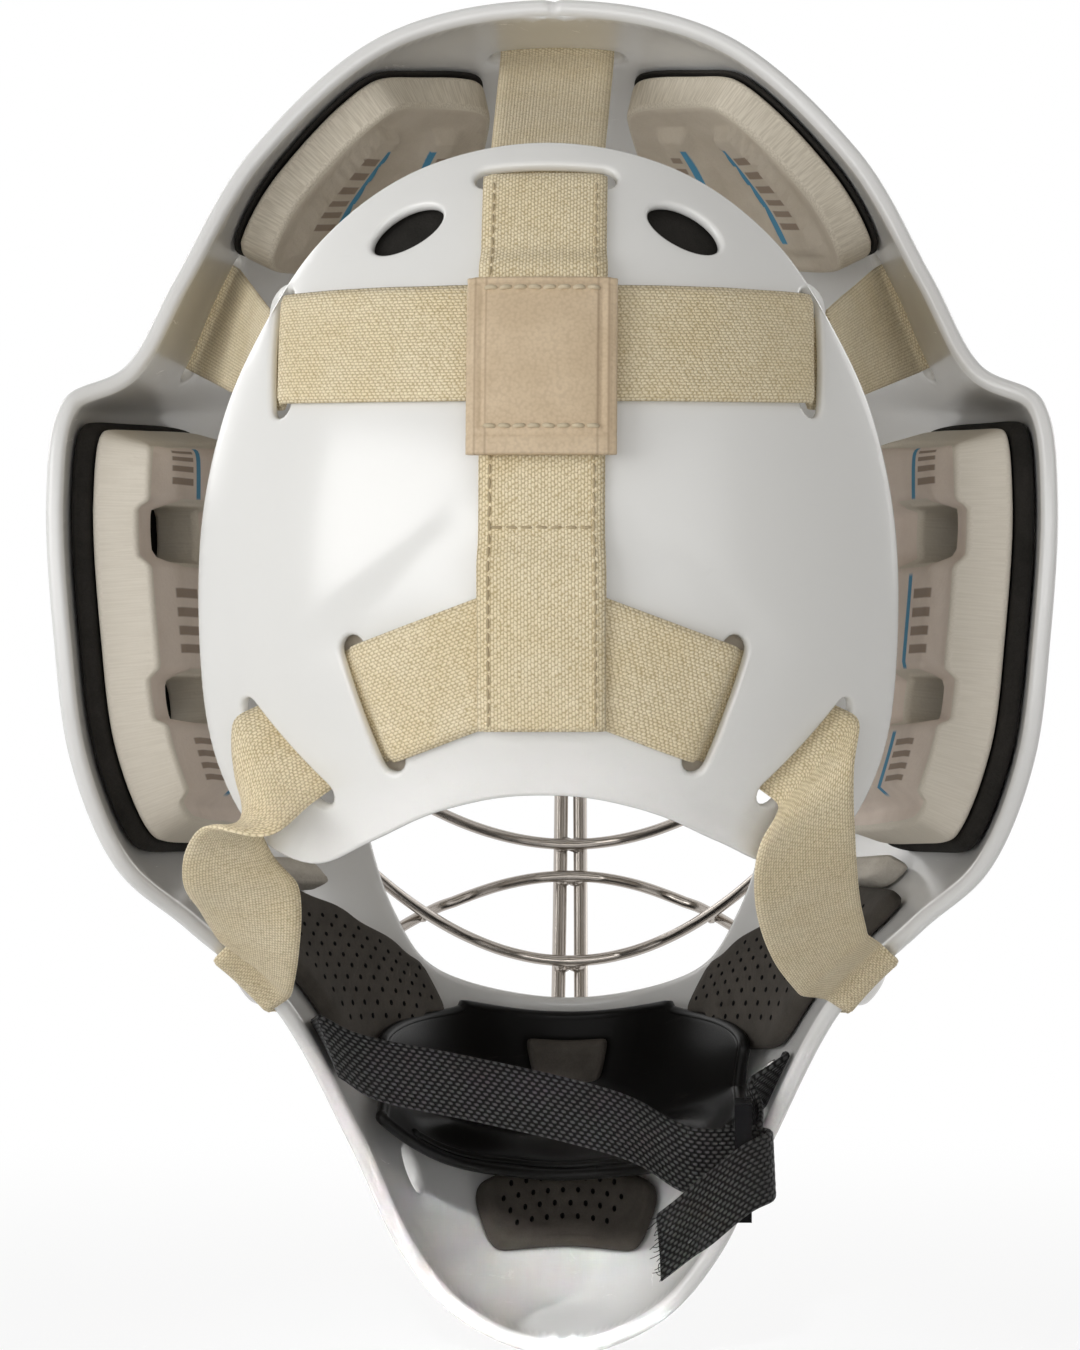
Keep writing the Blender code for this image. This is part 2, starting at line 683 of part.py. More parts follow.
def build_plate():
    rows = []
    for i in range(PLATE_RINGS + 1):
        share = sin(pi / 2 * i / PLATE_RINGS)
        ring = []
        for x, z in PLATE_OUTLINE:
            low = smooth((PLATE_LIP_TOP - z) / (PLATE_LIP_TOP - PLATE_LIP_FOOT))
            lift = PLATE_LIP * low * smooth((share - PLATE_LIP_SHARE) / (1 - PLATE_LIP_SHARE))
            ring.append(plate_point(x * share, PLATE_HUB_HEIGHT + (z - PLATE_HUB_HEIGHT) * share, lift))
        rows.append(ring)
    plate = thicken(sheet("back_plate", rows, PLATE_WHITE, HEAD_CENTER, cyclic=True), PLATE_WALL)
    slot = stadium(STRAP_WIDTH + SLOT_SPARE, SLOT_WIDTH)
    vent = oval(PLATE_VENT_LENGTH, PLATE_VENT_WIDTH)
    v_run = (V_STRAP_MEETING_HEIGHT / MM - PLATE_V_SLOT_MM[1], PLATE_V_SLOT_MM[0])
    vent_run = (-cos(PLATE_VENT_SLOPE), sin(PLATE_VENT_SLOPE))
    plate_cut(plate, "plate_top_slot", (0, PLATE_TOP_SLOT_HEIGHT / MM), (1, 0), slot)
    for side, sign in SIDES.items():
        def mirrored(pair):
            return sign * pair[0], pair[1]
        plate_cut(plate, f"plate_side_slot_{side}", mirrored(PLATE_SIDE_SLOT_MM), (0, 1), slot)
        plate_cut(plate, f"plate_v_slot_{side}", mirrored(PLATE_V_SLOT_MM), mirrored(v_run), slot)
        plate_cut(plate, f"plate_lateral_slot_{side}", mirrored(PLATE_LATERAL_SLOT_MM),
                  mirrored(PLATE_LATERAL_SLOT_RUN_MM), slot)
        plate_cut(plate, f"plate_vent_{side}", mirrored(PLATE_VENT_MM), mirrored(vent_run), vent)


def plate_cut(plate, name, place_mm, run, outline):
    x, z = place_mm[0] * MM, place_mm[1] * MM
    cutter = prism(name + "_cutter", outline, 5 * PLATE_WALL, None, cutters)
    normal = plate_normal(x, z)
    lean = -(run[0] * normal.x + run[1] * normal.z) / normal.y
    place(cutter, plate_at(x, z, -PLATE_WALL / 2), Vector((run[0], lean, run[1])), normal)
    cut(plate, cutter)


# Harness on the back plate

ON_PLATE = SEAT_GAP + STRAP_THICKNESS / 2
UNDER_PLATE = -PLATE_WALL - ON_PLATE
OVER_STRAP = ON_PLATE + STRAP_THICKNESS + SEAT_GAP
SLOT_LEAD = 0.25 * SLOT_WIDTH
INNER_TAIL = 5 * MM
SPAN_GAP = 3.5 * MM


def plate_row(x, z, side_x, side_z, height, width, lanes):
    """One row of a strap over the plate: points across its width, as seen along (side_x, side_z)."""
    normal = plate_normal(x, z)
    lean = (side_x * normal.x + side_z * normal.z) / normal.y
    reach = width / 2 / sqrt(side_x ** 2 + side_z ** 2 + lean ** 2)
    shares = [reach * (2 * m / (lanes - 1) - 1) for m in range(lanes)]
    return [plate_at(x + side_x * m, z + side_z * m, height) for m in shares]


def plate_strap(name, path, width, thickness, material, lanes=3):
    """A strap on the plate: path gives (x, z, height) and the strap lies square to its run."""
    rows = []
    for k, (x, z, height) in enumerate(path):
        before = path[max(k - 1, 0)]
        after = path[min(k + 1, len(path) - 1)]
        rows.append(plate_row(x, z, before[1] - after[1], after[0] - before[0], height, width, lanes))
    return thicken(sheet(name, rows, material), thickness, 0.0)


def spread(start, end, count):
    return [start + (end - start) * k / (count - 1) for k in range(count)]


def surface_run(x, z, run_x, run_z):
    """One unit along the plate's surface in the given direction, as (x, z) seen from behind."""
    normal = plate_normal(x, z)
    lean = (run_x * normal.x + run_z * normal.z) / normal.y
    size = sqrt(run_x ** 2 + run_z ** 2 + lean ** 2)
    return run_x / size, run_z / size


def through_slot(x, z, run_x, run_z, tail):
    """Points of a strap that dives through a slot along its run and goes on under the plate."""
    dx, dz = surface_run(x, z, run_x, run_z)
    heights = ((-SLOT_LEAD, ON_PLATE), (SLOT_LEAD, UNDER_PLATE), (SLOT_LEAD + tail, UNDER_PLATE))
    return [(x + dx * shift, z + dz * shift, height) for shift, height in heights]


def build_plate_straps():
    side_x, side_z = (value * MM for value in PLATE_SIDE_SLOT_MM)
    clear = SLOT_WIDTH
    right_end = through_slot(side_x, side_z, 1, 0, INNER_TAIL)
    left_end = [(-x, z, height) for x, z, height in reversed(right_end)]
    cross = [(x, side_z, ON_PLATE) for x in spread(-side_x + clear, side_x - clear, 13)]
    plate_strap("cross_strap", left_end + cross + right_end, STRAP_WIDTH, STRAP_THICKNESS, CREAM_ELASTIC)

    top_z = PLATE_TOP_SLOT_HEIGHT
    down = through_slot(0, top_z, 0, 1, INNER_TAIL)[::-1]
    for z in spread(top_z - clear, STRAP_FOOT, 20):
        crossing = smooth((1.35 * STRAP_WIDTH / 2 - abs(z - side_z)) / (3 * MM) + 0.5)
        foot = smooth((V_STRAP_MEETING_HEIGHT + 0.8 * STRAP_WIDTH - z) / (6 * MM))
        down.append((0, z, ON_PLATE + (OVER_STRAP - ON_PLATE) * max(crossing, foot)))
    plate_strap("vertical_strap", down, STRAP_WIDTH, STRAP_THICKNESS, CREAM_ELASTIC)

    tab_height = OVER_STRAP + STRAP_THICKNESS / 2 + SEAT_GAP + TAB_THICKNESS / 2
    tab_z = side_z - TAB_DROP
    tab = [(0, z, tab_height) for z in spread(tab_z - TAB_HEIGHT / 2, tab_z + TAB_HEIGHT / 2, 7)]
    plate_strap("keeper_tab", tab, TAB_WIDTH, TAB_THICKNESS, TAN_TAB)

    v_x, v_z = (value * MM for value in PLATE_V_SLOT_MM)
    run_x, run_z = v_x, v_z - V_STRAP_MEETING_HEIGHT
    size = sqrt(run_x ** 2 + run_z ** 2)
    meet = STRAP_WIDTH / 2 * abs(run_z) / size + SEAT_GAP
    path = []
    for share in spread(meet / run_x, 1 - clear / size, 6):
        path.append((run_x * share, V_STRAP_MEETING_HEIGHT + run_z * share, ON_PLATE))
    path += through_slot(v_x, v_z, run_x, run_z, INNER_TAIL)
    for side, sign in SIDES.items():
        plate_strap(f"v_strap_{side}", [(sign * x, z, height) for x, z, height in path], STRAP_WIDTH,
                    STRAP_THICKNESS, CREAM_ELASTIC)


# Straps between the plate and the shell

ON_SHELL = -(SEAT_GAP + STRAP_THICKNESS / 2)


def strap_row(middle, side, lanes=3):
    """One row of a strap: points across its width."""
    reach = side.normalized() * STRAP_WIDTH / 2
    return [middle + reach * (2 * k / (lanes - 1) - 1) for k in range(lanes)]


def shell_row(u, v, du, dv, lanes=3):
    """One row of a strap lying on the shell, its width along (du, dv)."""
    step = 1e-3
    ends = [shell_skin(u + du * m, v + dv * m) for m in (-step, step)]
    reach = STRAP_WIDTH / 2 * 2 * step / (ends[1] - ends[0]).length
    shares = [2 * k / (lanes - 1) - 1 for k in range(lanes)]
    return [shell_point(u + du * reach * m, v + dv * reach * m, ON_SHELL) for m in shares]


def slot_rows(slot, normal, run, side):
    """Rows of a strap that comes out through a slot of the shell and turns along the run."""
    run = (run - normal * run.dot(normal)).normalized() * SLOT_WIDTH / 4
    below = slot - run - normal * (SHELL_WALL / 2 + STRAP_THICKNESS)
    above = slot + run + normal * (SHELL_WALL / 2 - ON_SHELL)
    return [strap_row(below, side), strap_row(above, side)]


def between(start, end, count):
    """Rows that lead evenly from one row of a strap towards another."""
    return [[a.lerp(b, k / count) for a, b in zip(start, end)] for k in range(count)]


def strap(name, rows):
    return thicken(sheet(name, rows, CREAM_ELASTIC), STRAP_THICKNESS, 0.0)


def build_spans():
    reach = SLOT_LEAD + INNER_TAIL + SPAN_GAP
    slot, wide, normal = crown_slot_frame()
    _, dz = surface_run(0, PLATE_TOP_SLOT_HEIGHT, 0, 1)
    start = plate_row(0, PLATE_TOP_SLOT_HEIGHT + dz * reach, 1, 0, UNDER_PLATE, STRAP_WIDTH, 3)
    forward = shell_skin(0, CROWN_SLOT_STATION + 0.1) - shell_skin(0, CROWN_SLOT_STATION)
    out = slot_rows(slot, normal, forward, wide)
    rows = between(start, out[0], 5) + out
    for shift in (0.3, 0.5, 0.7):
        rows.append(shell_row(0.0, CROWN_SLOT_STATION + shift, 1, 0))
    strap("top_strap", rows)
    snap("crown_snap", 0.0, CROWN_SLOT_STATION + 0.52)

    side_x, side_z = (value * MM for value in PLATE_SIDE_SLOT_MM)
    dx, _ = surface_run(side_x, side_z, 1, 0)
    for side, sign in SIDES.items():
        u, v = sign * TEMPLE_SLOT[0], TEMPLE_SLOT[1]
        slot, down, normal = temple_slot_frame(sign)
        start = plate_row(sign * (side_x + dx * reach), side_z, 0, -1, UNDER_PLATE, STRAP_WIDTH, 3)
        forward = shell_skin(u - sign * 0.05, v) - shell_skin(u, v)
        down.normalize()
        out = slot_rows(slot, normal, forward, down)
        rows = between(start, out[0], 6) + out
        for shift in (0.06, 0.11, 0.16):
            rows.append(shell_row(u - sign * shift, v, 0, 1))
        strap(f"upper_side_strap_{side}", rows)
        snap(f"temple_snap_{side}", u - sign * 0.11, v)
        build_lower_strap(side, sign)


# Free run of each lower strap from the plate's lateral slot to the jaw edge: points in mm and width
# directions, x counted outward. The left strap has half a twist.
LOWER_STRAPS_MM = {
    "right": (
        ((64, -89, -47), (0.75, 0.1, 0.6)),
        ((64, -74, -62), (0.8, -0.1, 0.55)),
        ((67, -46, -77), (0.72, -0.4, 0.55)),
        ((72, -20, -88), (0.58, -0.62, 0.55)),
    ),
    "left": (
        ((72, -90, -45), (0.35, 0.75, 0.5)),
        ((77, -80, -54), (-0.45, 0.8, -0.2)),
        ((77, -62, -66), (-0.85, 0.2, -0.1)),
        ((77, -40, -78), (-0.75, 0.35, -0.35)),
        ((77, -20, -88), (-0.6, 0.6, -0.5)),
    ),
}
FREE_ROWS = 11


def build_lower_strap(side, sign):
    """From the lateral slot of the plate, down and round the jaw edge to the outside."""
    lat_x, lat_z = (value * MM for value in PLATE_LATERAL_SLOT_MM)
    across = Vector((PLATE_LATERAL_SLOT_RUN_MM[0], 0, PLATE_LATERAL_SLOT_RUN_MM[1]))
    dx, dz = surface_run(lat_x, lat_z, across.z, -across.x)
    normal = plate_normal(lat_x, lat_z)
    across.y = -(across.x * normal.x + across.z * normal.z) / normal.y
    ends = []
    dive = ((-SLOT_LEAD - INNER_TAIL, UNDER_PLATE), (-SLOT_LEAD, UNDER_PLATE), (SLOT_LEAD, 2 * ON_PLATE))
    for shift, height in dive:
        x, z = lat_x + dx * shift, lat_z + dz * shift
        ends.append(plate_row(x, z, across.x, across.z, height, STRAP_WIDTH, 3))
    edge = shell_skin(1.0, JAW_WRAP_STATION - 0.1) - shell_skin(1.0, JAW_WRAP_STATION + 0.1)
    run = LOWER_STRAPS_MM[side]
    middles = [tuple(ends[-1][1])] + [tuple(Vector(point) * MM) for point, _ in run]
    widths = [tuple(across.normalized())] + [width for _, width in run]
    free = list(zip(sample(np.array(middles), FREE_ROWS), sample(np.array(widths), FREE_ROWS)))[1:]
    rows = ends + [strap_row(Vector(m), Vector(w)) for m, w in free]
    twisted = run[-1][1][0] < 0
    wrap = []
    for depth, shift in ((SHELL_WALL + 1 * MM, 3 * MM), (ON_SHELL, 1 * MM)):
        row = []
        for k in range(3):
            v = JAW_WRAP_STATION + (1 - k) * STRAP_WIDTH / 2 * 0.2 / edge.length
            back = Vector((0, -SEAT_GAP - STRAP_THICKNESS / 2 - shift, 0))
            row.append(shell_point(0.995, v, depth) + back)
        wrap.append(row)
    for u in (0.95, 0.90, 0.85, 0.80):
        wrap.append(shell_row(u, JAW_WRAP_STATION, 0, -1))
    rows += [row[::-1] for row in wrap] if twisted else wrap
    flip = Vector((sign, 1, 1))
    strap(f"lower_side_strap_{side}", [[p * flip for p in row] for row in rows])
    snap(f"jaw_snap_{side}", sign * 0.855, JAW_WRAP_STATION)


def snap(name, u, v):
    """A snap cap over a strap end on the outside of the shell."""
    foot = 2 * SEAT_GAP + STRAP_THICKNESS
    shape = ((0, 1), (0.55, 0.93), (0.88, 0.6), (1, 0.2), (1, 0), (0, 0))
    profile = [(SNAP_RADIUS * r, SNAP_HEIGHT * h) for r, h in shape]
    cap = turned(name, profile, FASTENER_STEEL)
    place(cap, shell_point(u, v, -foot), Vector((0, 0.3, 1)), shell_normal(u, v))


# Pads

def pad(name, spot, depth, thickness, material, size, height=None, corner=0.10):
    """A foam pad on the shell: crowned, with drawn-in sides; height(s, t) scales its thickness."""
    (u_low, u_high), (v_low, v_high) = spot
    columns, lines = size
    rows, weights = [], []
    for t in spread(-1, 1, lines):
        row = []
        for s in spread(-1, 1, columns):
            u = (u_low + u_high) / 2 + (u_high - u_low) / 2 * s * (1 - corner * t ** 4)
            v = (v_low + v_high) / 2 + (v_high - v_low) / 2 * t * (1 - corner * s ** 4)
            row.append(shell_point(u, v, depth))
            weights.append(height(s, t) if height else crown(s, t))
        rows.append(row)
    return thicken(sheet(name, rows, material, HEAD_CENTER), thickness, -1.0, weights)


def crown(s, t):
    return 0.72 + 0.28 * sqrt((1 - s ** 6) * (1 - t ** 6))


def flat(s, t):
    return 1.0


def stepped(s, t):
    """Three raised blocks over a lower bed, with rounded sides."""
    block = smooth(1.6 * abs(sin(1.5 * pi * (t + 1) + 0.35)) - 0.35)
    return (0.62 + 0.38 * block) * crown(s, t)


def build_pads():
    inside = SHELL_WALL + SEAT_GAP
    over_forehead = inside + FOREHEAD_BACKING + TOUCH_GAP
    over_side = inside + SIDE_BACKING + TOUCH_GAP
    for side, sign in SIDES.items():
        def spot(area):
            return tuple(sign * u for u in area[0]), area[1]
        forehead, wide = spot(FOREHEAD_PLACE), spot(SIDE_PLACE)
        pad(f"forehead_backing_{side}", forehead, inside, FOREHEAD_BACKING, CHARCOAL_FOAM, (8, 8), flat)
        pad(f"forehead_pad_{side}", forehead, over_forehead, FOREHEAD_FOAM, BEIGE_FOAM, (8, 8))
        pad(f"side_backing_{side}", wide, inside, SIDE_BACKING, CHARCOAL_FOAM, (6, 15), flat, SIDE_CORNER)
        pad(f"side_pad_{side}", wide, over_side, SIDE_FOAM - SIDE_BACKING, BEIGE_FOAM, (6, 15), stepped,
            SIDE_CORNER)
        pad(f"jaw_pad_{side}", spot(JAW_PLACE), inside, JAW_FOAM, DARK_LINER, (8, 7))
        pad(f"cheek_foam_{side}", spot(CHEEK_PLACE), inside, CHEEK_FOAM, BEIGE_FOAM, (6, 5))
    pad("chin_liner_pad", CHIN_LINER_PLACE, inside, CHIN_LINER_FOAM, DARK_LINER, (9, 7))
    for name, (center, half, layers) in PLATE_PADS_MM.items():
        plate_pad(name, center, half, layers)


def plate_pad(name, center_mm, half_mm, layers, lines=7, corner=0.08):
    rows, weights = [], []
    height = -PLATE_WALL - SEAT_GAP - layers * (STRAP_THICKNESS + SEAT_GAP)
    for t in spread(-1, 1, lines):
        row = []
        for s in spread(-1, 1, lines):
            x = (center_mm[0] + half_mm[0] * s * (1 - corner * t ** 4)) * MM
            z = (center_mm[1] + half_mm[1] * t * (1 - corner * s ** 4)) * MM
            row.append(plate_point(x, z, height))
            weights.append(crown(s, t))
        rows.append(row)
    return thicken(sheet(name, rows, BEIGE_FOAM, HEAD_CENTER), PLATE_FOAM, -1.0, weights)


# Chin cup and chin strap

def build_chin():
    """Cup moulding: its wall follows the shell and its foot turns back into a ledge."""
    inside = SHELL_WALL + SEAT_GAP
    depth = inside + CUP_SPACER + SEAT_GAP
    spacer = ((-CUP_SPACER_HALF, CUP_SPACER_HALF), (CUP_TOP + 0.1, CUP_FOOT - 0.1))
    pad("chin_cup_spacer", spacer, inside, CUP_SPACER, CHARCOAL_FOAM, (7, 5), flat, 0.0)
    rows = []
    for t in spread(0, 1, 9):
        wall = min(t / CUP_WALL_SHARE, 1.0)
        back = max((t - CUP_WALL_SHARE) / (1 - CUP_WALL_SHARE), 0.0)
        half = CUP_HALF_TOP + (CUP_HALF_FOOT - CUP_HALF_TOP) * smooth(CUP_SPREAD * wall)
        row = []
        for u in spread(-half, half, 11):
            edge = wall * (u / half) ** 2
            v = CUP_TOP + (CUP_FOOT - CUP_TOP) * wall - CUP_RISE * edge
            near = 1 - (1 - CUP_EDGE_SHARE) * edge ** 2
            point = shell_point(u, v, inside + CUP_SPACER * near + SEAT_GAP)
            row.append(point + Vector((0, -CUP_LEDGE * back, -CUP_DROP * sqrt(back))))
        rows.append(row)
    thicken(sheet("chin_cup", rows, BLACK_MOULDING, HEAD_CENTER), CUP_WALL)
    pad("chin_cup_pad", CUP_PAD_PLACE, depth + CUP_WALL + SEAT_GAP, CUP_PAD, DARK_LINER, (5, 5))


def webbing(name, rows):
    return thicken(sheet(name, rows, BLACK_WEBBING), WEBBING_THICKNESS, 0.0)


def webbing_rows(points, widths, count):
    middles = sample(np.array(points, dtype=float) * MM, count)
    sides = sample(np.array(widths, dtype=float), count)
    rows = []
    for middle, side in zip(middles, sides):
        reach = Vector(side).normalized() * WEBBING_WIDTH / 2
        rows.append([Vector(middle) + reach * m for m in (-1, 0, 1)])
    return rows


def anchor_spots(v):
    """Three places u along the end of a chin strap, its rivet at the middle one."""
    near = 0.9
    pace = (shell_skin(1.0, v) - shell_skin(near, v)).length / (1 - near)
    return [1 - (ANCHOR_INSET + shift) / pace for shift in (ANCHOR_LAP, 0, -ANCHOR_LAP)]


def wall_row(u, v):
    """One row of webbing on the inner wall of the shell."""
    depth = SHELL_WALL + SEAT_GAP + WEBBING_THICKNESS / 2
    step = 0.1
    pace = (shell_skin(u, v + step) - shell_skin(u, v - step)).length / (2 * step)
    reach = WEBBING_WIDTH / 2 / pace
    return [shell_point(u, v + reach * m, depth) for m in (-1, 0, 1)]


def slider_place():
    """The slider keeps its share of the shell's width."""
    return Vector((SLIDER_PLACE.x * SPAN_SHARE, SLIDER_PLACE.y, SLIDER_PLACE.z))


def build_chin_strap():
    x, y, z = slider_place() / MM
    left, right = ANCHOR_STATIONS["left"], ANCHOR_STATIONS["right"]
    left_spots, right_spots = anchor_spots(left), anchor_spots(right)
    rows = [wall_row(-u, left) for u in left_spots]
    points = [(px * SPAN_SHARE, py, pz) for px, py, pz in CHIN_STRAP_MM] + [(x - 14, y, z), (x + 3.6, y, z)]
    leans = (0.35, 0.25, 0.2, 0.15, 0.1, 0, 0)
    widths = [(lean, 0, -1) for lean in leans]
    webbing("chin_strap", rows + webbing_rows(points, widths, 16))
    rivet("chin_strap_rivet_left", -left_spots[1], left)
    build_slider()

    front_y = y + (SLIDER_SLOT + SLIDER_BAR) / MM
    points = [(x - 5, front_y, z), (x + 3.6, front_y, z), (x + 4.6, front_y + 4.5, z + 3),
              (x + 3.6, front_y + 9.5, z + 7), (x, front_y + 14, z + 13)]
    widths = [(0, 0, -1), (0, 0, -1), (0, 0.25, -0.97), (-0.1, 0.35, -0.93), (-0.2, 0.5, -0.85)]
    rows = [wall_row(u, right) for u in reversed(right_spots)]
    webbing("chin_strap_anchor", webbing_rows(points, widths, 9) + rows)
    rivet("chin_strap_rivet_right", right_spots[1], right)

    points = [(x + dx, y + dy, z + dz) for dx, dy, dz in STRAP_TAIL_MM]
    widths = [(0, 0, -1), (0.03, 0, -1), (0.06, 0, -1), (0.1, 0, -1), (0.12, -0.15, -0.97),
              (0.15, 0.3, -0.9), (0.06, 0.1, -1)]
    webbing("chin_strap_tail", webbing_rows(points, widths, 14))


def build_slider():
    """Ladder slider: a flat bar buckle standing across the webbing, with two slots."""
    deep, tall = SLIDER_DEPTH / 2, SLIDER_HEIGHT / 2
    outline = [(-deep, -tall), (deep, -tall), (deep, tall), (-deep, tall)]
    slider = prism("chin_strap_slider", outline, SLIDER_THICKNESS, BLACK_MOULDING)
    shift = Vector((0, (SLIDER_SLOT + SLIDER_BAR) / 2, 0))
    middle = slider_place() + shift
    place(slider, middle, Vector((0, 1, 0)), Vector((1, 0, 0)))
    slot = stadium(WEBBING_WIDTH + SLOT_SPARE, SLIDER_SLOT)
    for name, spot in (("rear", middle - shift), ("front", middle + shift)):
        cutter = prism(f"slider_slot_{name}_cutter", slot, 3 * SLIDER_THICKNESS, None, cutters)
        cut(slider, place(cutter, spot, Vector((0, 0, 1)), Vector((1, 0, 0))))


def rivet(name, u, v):
    """A rivet head on the webbing, inside the shell."""
    depth = SHELL_WALL + 2 * SEAT_GAP + WEBBING_THICKNESS
    shape = ((0, 1), (0.7, 0.8), (1, 0.25), (1, 0), (0, 0))
    profile = [(RIVET_RADIUS * r, RIVET_HEIGHT * h) for r, h in shape]
    head = turned(name, profile, FASTENER_STEEL, 12)
    place(head, shell_point(u, v, depth), Vector((0, 0, 1)), -shell_normal(u, v))


def hang_on_hinge():
    """The back plate and its straps tilt about the top strap's crown slot."""
    hinge = bpy.data.objects.new("back_plate_hinge", None)
    mask.objects.link(hinge)
    hinge.location = crown_slot_frame()[0]
    bpy.context.view_layer.update()
    straps = ("cross_strap", "vertical_strap", "keeper_tab", "v_strap_left", "v_strap_right")
    for name in ("back_plate", *straps, *PLATE_PADS_MM):
        obj = bpy.data.objects[name]
        obj.parent = hinge
        obj.matrix_parent_inverse = hinge.matrix_world.inverted()


build_shell()
build_cage()
build_plate()
build_plate_straps()
build_spans()
build_pads()
build_chin()
build_chin_strap()
hang_on_hinge()
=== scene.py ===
from math import cos, pi, radians, sin, sqrt

import bmesh
import bpy
import numpy as np
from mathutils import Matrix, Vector
from mathutils.geometry import delaunay_2d_cdt


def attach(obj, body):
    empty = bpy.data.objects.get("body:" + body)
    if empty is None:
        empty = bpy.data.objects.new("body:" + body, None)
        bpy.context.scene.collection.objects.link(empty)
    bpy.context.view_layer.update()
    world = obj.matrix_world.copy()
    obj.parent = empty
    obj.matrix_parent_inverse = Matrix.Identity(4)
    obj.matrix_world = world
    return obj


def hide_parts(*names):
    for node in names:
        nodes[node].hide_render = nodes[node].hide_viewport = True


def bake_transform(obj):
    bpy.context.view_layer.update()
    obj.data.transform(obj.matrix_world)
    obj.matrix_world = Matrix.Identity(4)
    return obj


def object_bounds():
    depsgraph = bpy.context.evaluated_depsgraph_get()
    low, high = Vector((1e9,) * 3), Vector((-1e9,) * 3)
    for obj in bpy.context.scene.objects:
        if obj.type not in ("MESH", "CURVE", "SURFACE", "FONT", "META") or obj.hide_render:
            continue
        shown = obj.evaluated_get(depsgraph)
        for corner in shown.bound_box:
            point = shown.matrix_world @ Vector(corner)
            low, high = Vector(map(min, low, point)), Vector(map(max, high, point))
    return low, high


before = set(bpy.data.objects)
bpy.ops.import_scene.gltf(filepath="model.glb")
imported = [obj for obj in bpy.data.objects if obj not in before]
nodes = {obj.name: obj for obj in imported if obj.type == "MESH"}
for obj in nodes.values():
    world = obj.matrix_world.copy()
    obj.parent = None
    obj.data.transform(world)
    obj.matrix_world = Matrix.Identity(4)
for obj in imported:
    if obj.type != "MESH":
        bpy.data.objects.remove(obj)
cadLow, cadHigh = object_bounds()
mm = 0.001
seatGap = 0.8 * mm  # room between a piece and what it lies on
touchGap = 0.3 * mm
headCenter = np.array((0, 10, 0)) * mm
sides = {"left": -1, "right": 1}
rng = np.random.default_rng(7)
print("frame loaded:", len(nodes), "nodes")


# curves

def splineAt(rows, t):
    rows, t = np.asarray(rows, float), np.asarray(t, float)
    last = len(rows) - 1
    i = np.clip(np.floor(t).astype(int), 0, last - 1)
    f = (t - i)[..., None]
    p1, p2 = rows[i], rows[i + 1]
    p0 = np.where((i > 0)[..., None], rows[np.maximum(i - 1, 0)], 2 * p1 - p2)
    p3 = np.where((i + 2 <= last)[..., None], rows[np.minimum(i + 2, last)], 2 * p2 - p1)
    second = (2 * p0 - 5 * p1 + 4 * p2 - p3) * f * f
    third = (3 * p1 - p0 - 3 * p2 + p3) * f ** 3
    return 0.5 * (2 * p1 + (p2 - p0) * f + second + third)


def splineThrough(rows, count):
    return splineAt(rows, np.linspace(0, len(rows) - 1, count))


def closedSpline(loop, count):
    loop = np.asarray(loop, float)
    ring = np.concatenate([loop[-1:], loop, loop[:2]])
    return splineAt(ring, 1 + len(loop) * np.arange(count) / count)


def mirroredOutline(half, count):  # closed outline from its right half, brow to chin
    left = [(-x, z) for x, z in half[-2:0:-1]]
    return closedSpline(np.array(list(half) + left, float) * mm, count)


def evenLoop(points, step):  # closed polyline with even spacing
    points = np.asarray(points, float)
    ring = np.vstack([points, points[:1]])
    run = np.concatenate([[0], np.cumsum(np.linalg.norm(np.diff(ring, axis=0), axis=1))])
    marks = np.linspace(0, run[-1], max(int(run[-1] / step), 12), endpoint=False)
    return np.stack([np.interp(marks, run, ring[:, k]) for k in range(ring.shape[1])], axis=1)


def bezierAt(a, b, c, d, t):
    s = 1 - t
    return a * s ** 3 + 3 * b * s * s * t + 3 * c * s * t * t + d * t ** 3


def smooth(t):
    t = np.clip(t, 0.0, 1.0)
    return t * t * (3 - 2 * t)


def unit(v):
    v = np.asarray(v, float)
    return v / np.maximum(np.linalg.norm(v, axis=-1, keepdims=True), 1e-12)


# shell surface: u from the left rim (-1) over the front (0) to the right rim (1), v from crown to chin

shell = dict(
    wall=4.5 * mm, edge=1.9 * mm, spacing=3.0 * mm, loopStep=1.7 * mm, fullness=0.56,
    stations=(  # front (y, z), then rear rim (x, y, z), mm
        (-15, 161, 0, -15, 161), (22, 155, 44, -16, 152), (70, 134, 78, -20, 122), (101, 102, 97, -26, 89),
        (113, 76, 109, -32, 66), (117, 59, 125, -39, 56), (122, 32, 128.5, -43, 31), (125, -3, 126.5, -43, -5),
        (127, -36, 122.5, -40, -36), (129, -64, 112, -31, -63), (131, -84, 95, -12, -80),
        (135, -108, 74.5, 22, -103), (137, -136, 57, 44, -139), (126, -166, 43.5, 52, -169),
        (98, -188, 26, 56, -189), (57, -198, 0, 57, -198)),
    faceOutline=((0, 50), (38, 49), (60, 40), (69, 18), (66, -18), (58, -54), (50, -80), (36, -97), (0, -104.5)),
    crownSlot=1.02, templeSlot=(0.78, 3.3), jawWrap=10.65,
    earHole=(0.80, 7.75), earHoleSize=13 * mm, chinVent=(0.70, 12.4), chinVentSize=(13 * mm, 8 * mm),
)
lastStation = len(shell["stations"]) - 1


def pastPole(end, near):
    return (2 * end[0] - near[0], 2 * end[1] - near[1], -near[2], near[3], near[4])


def stationTable():
    rows = shell["stations"]
    return np.array([pastPole(rows[0], rows[1]), *rows, pastPole(rows[-1], rows[-2])], float) * mm


stationRows = stationTable()


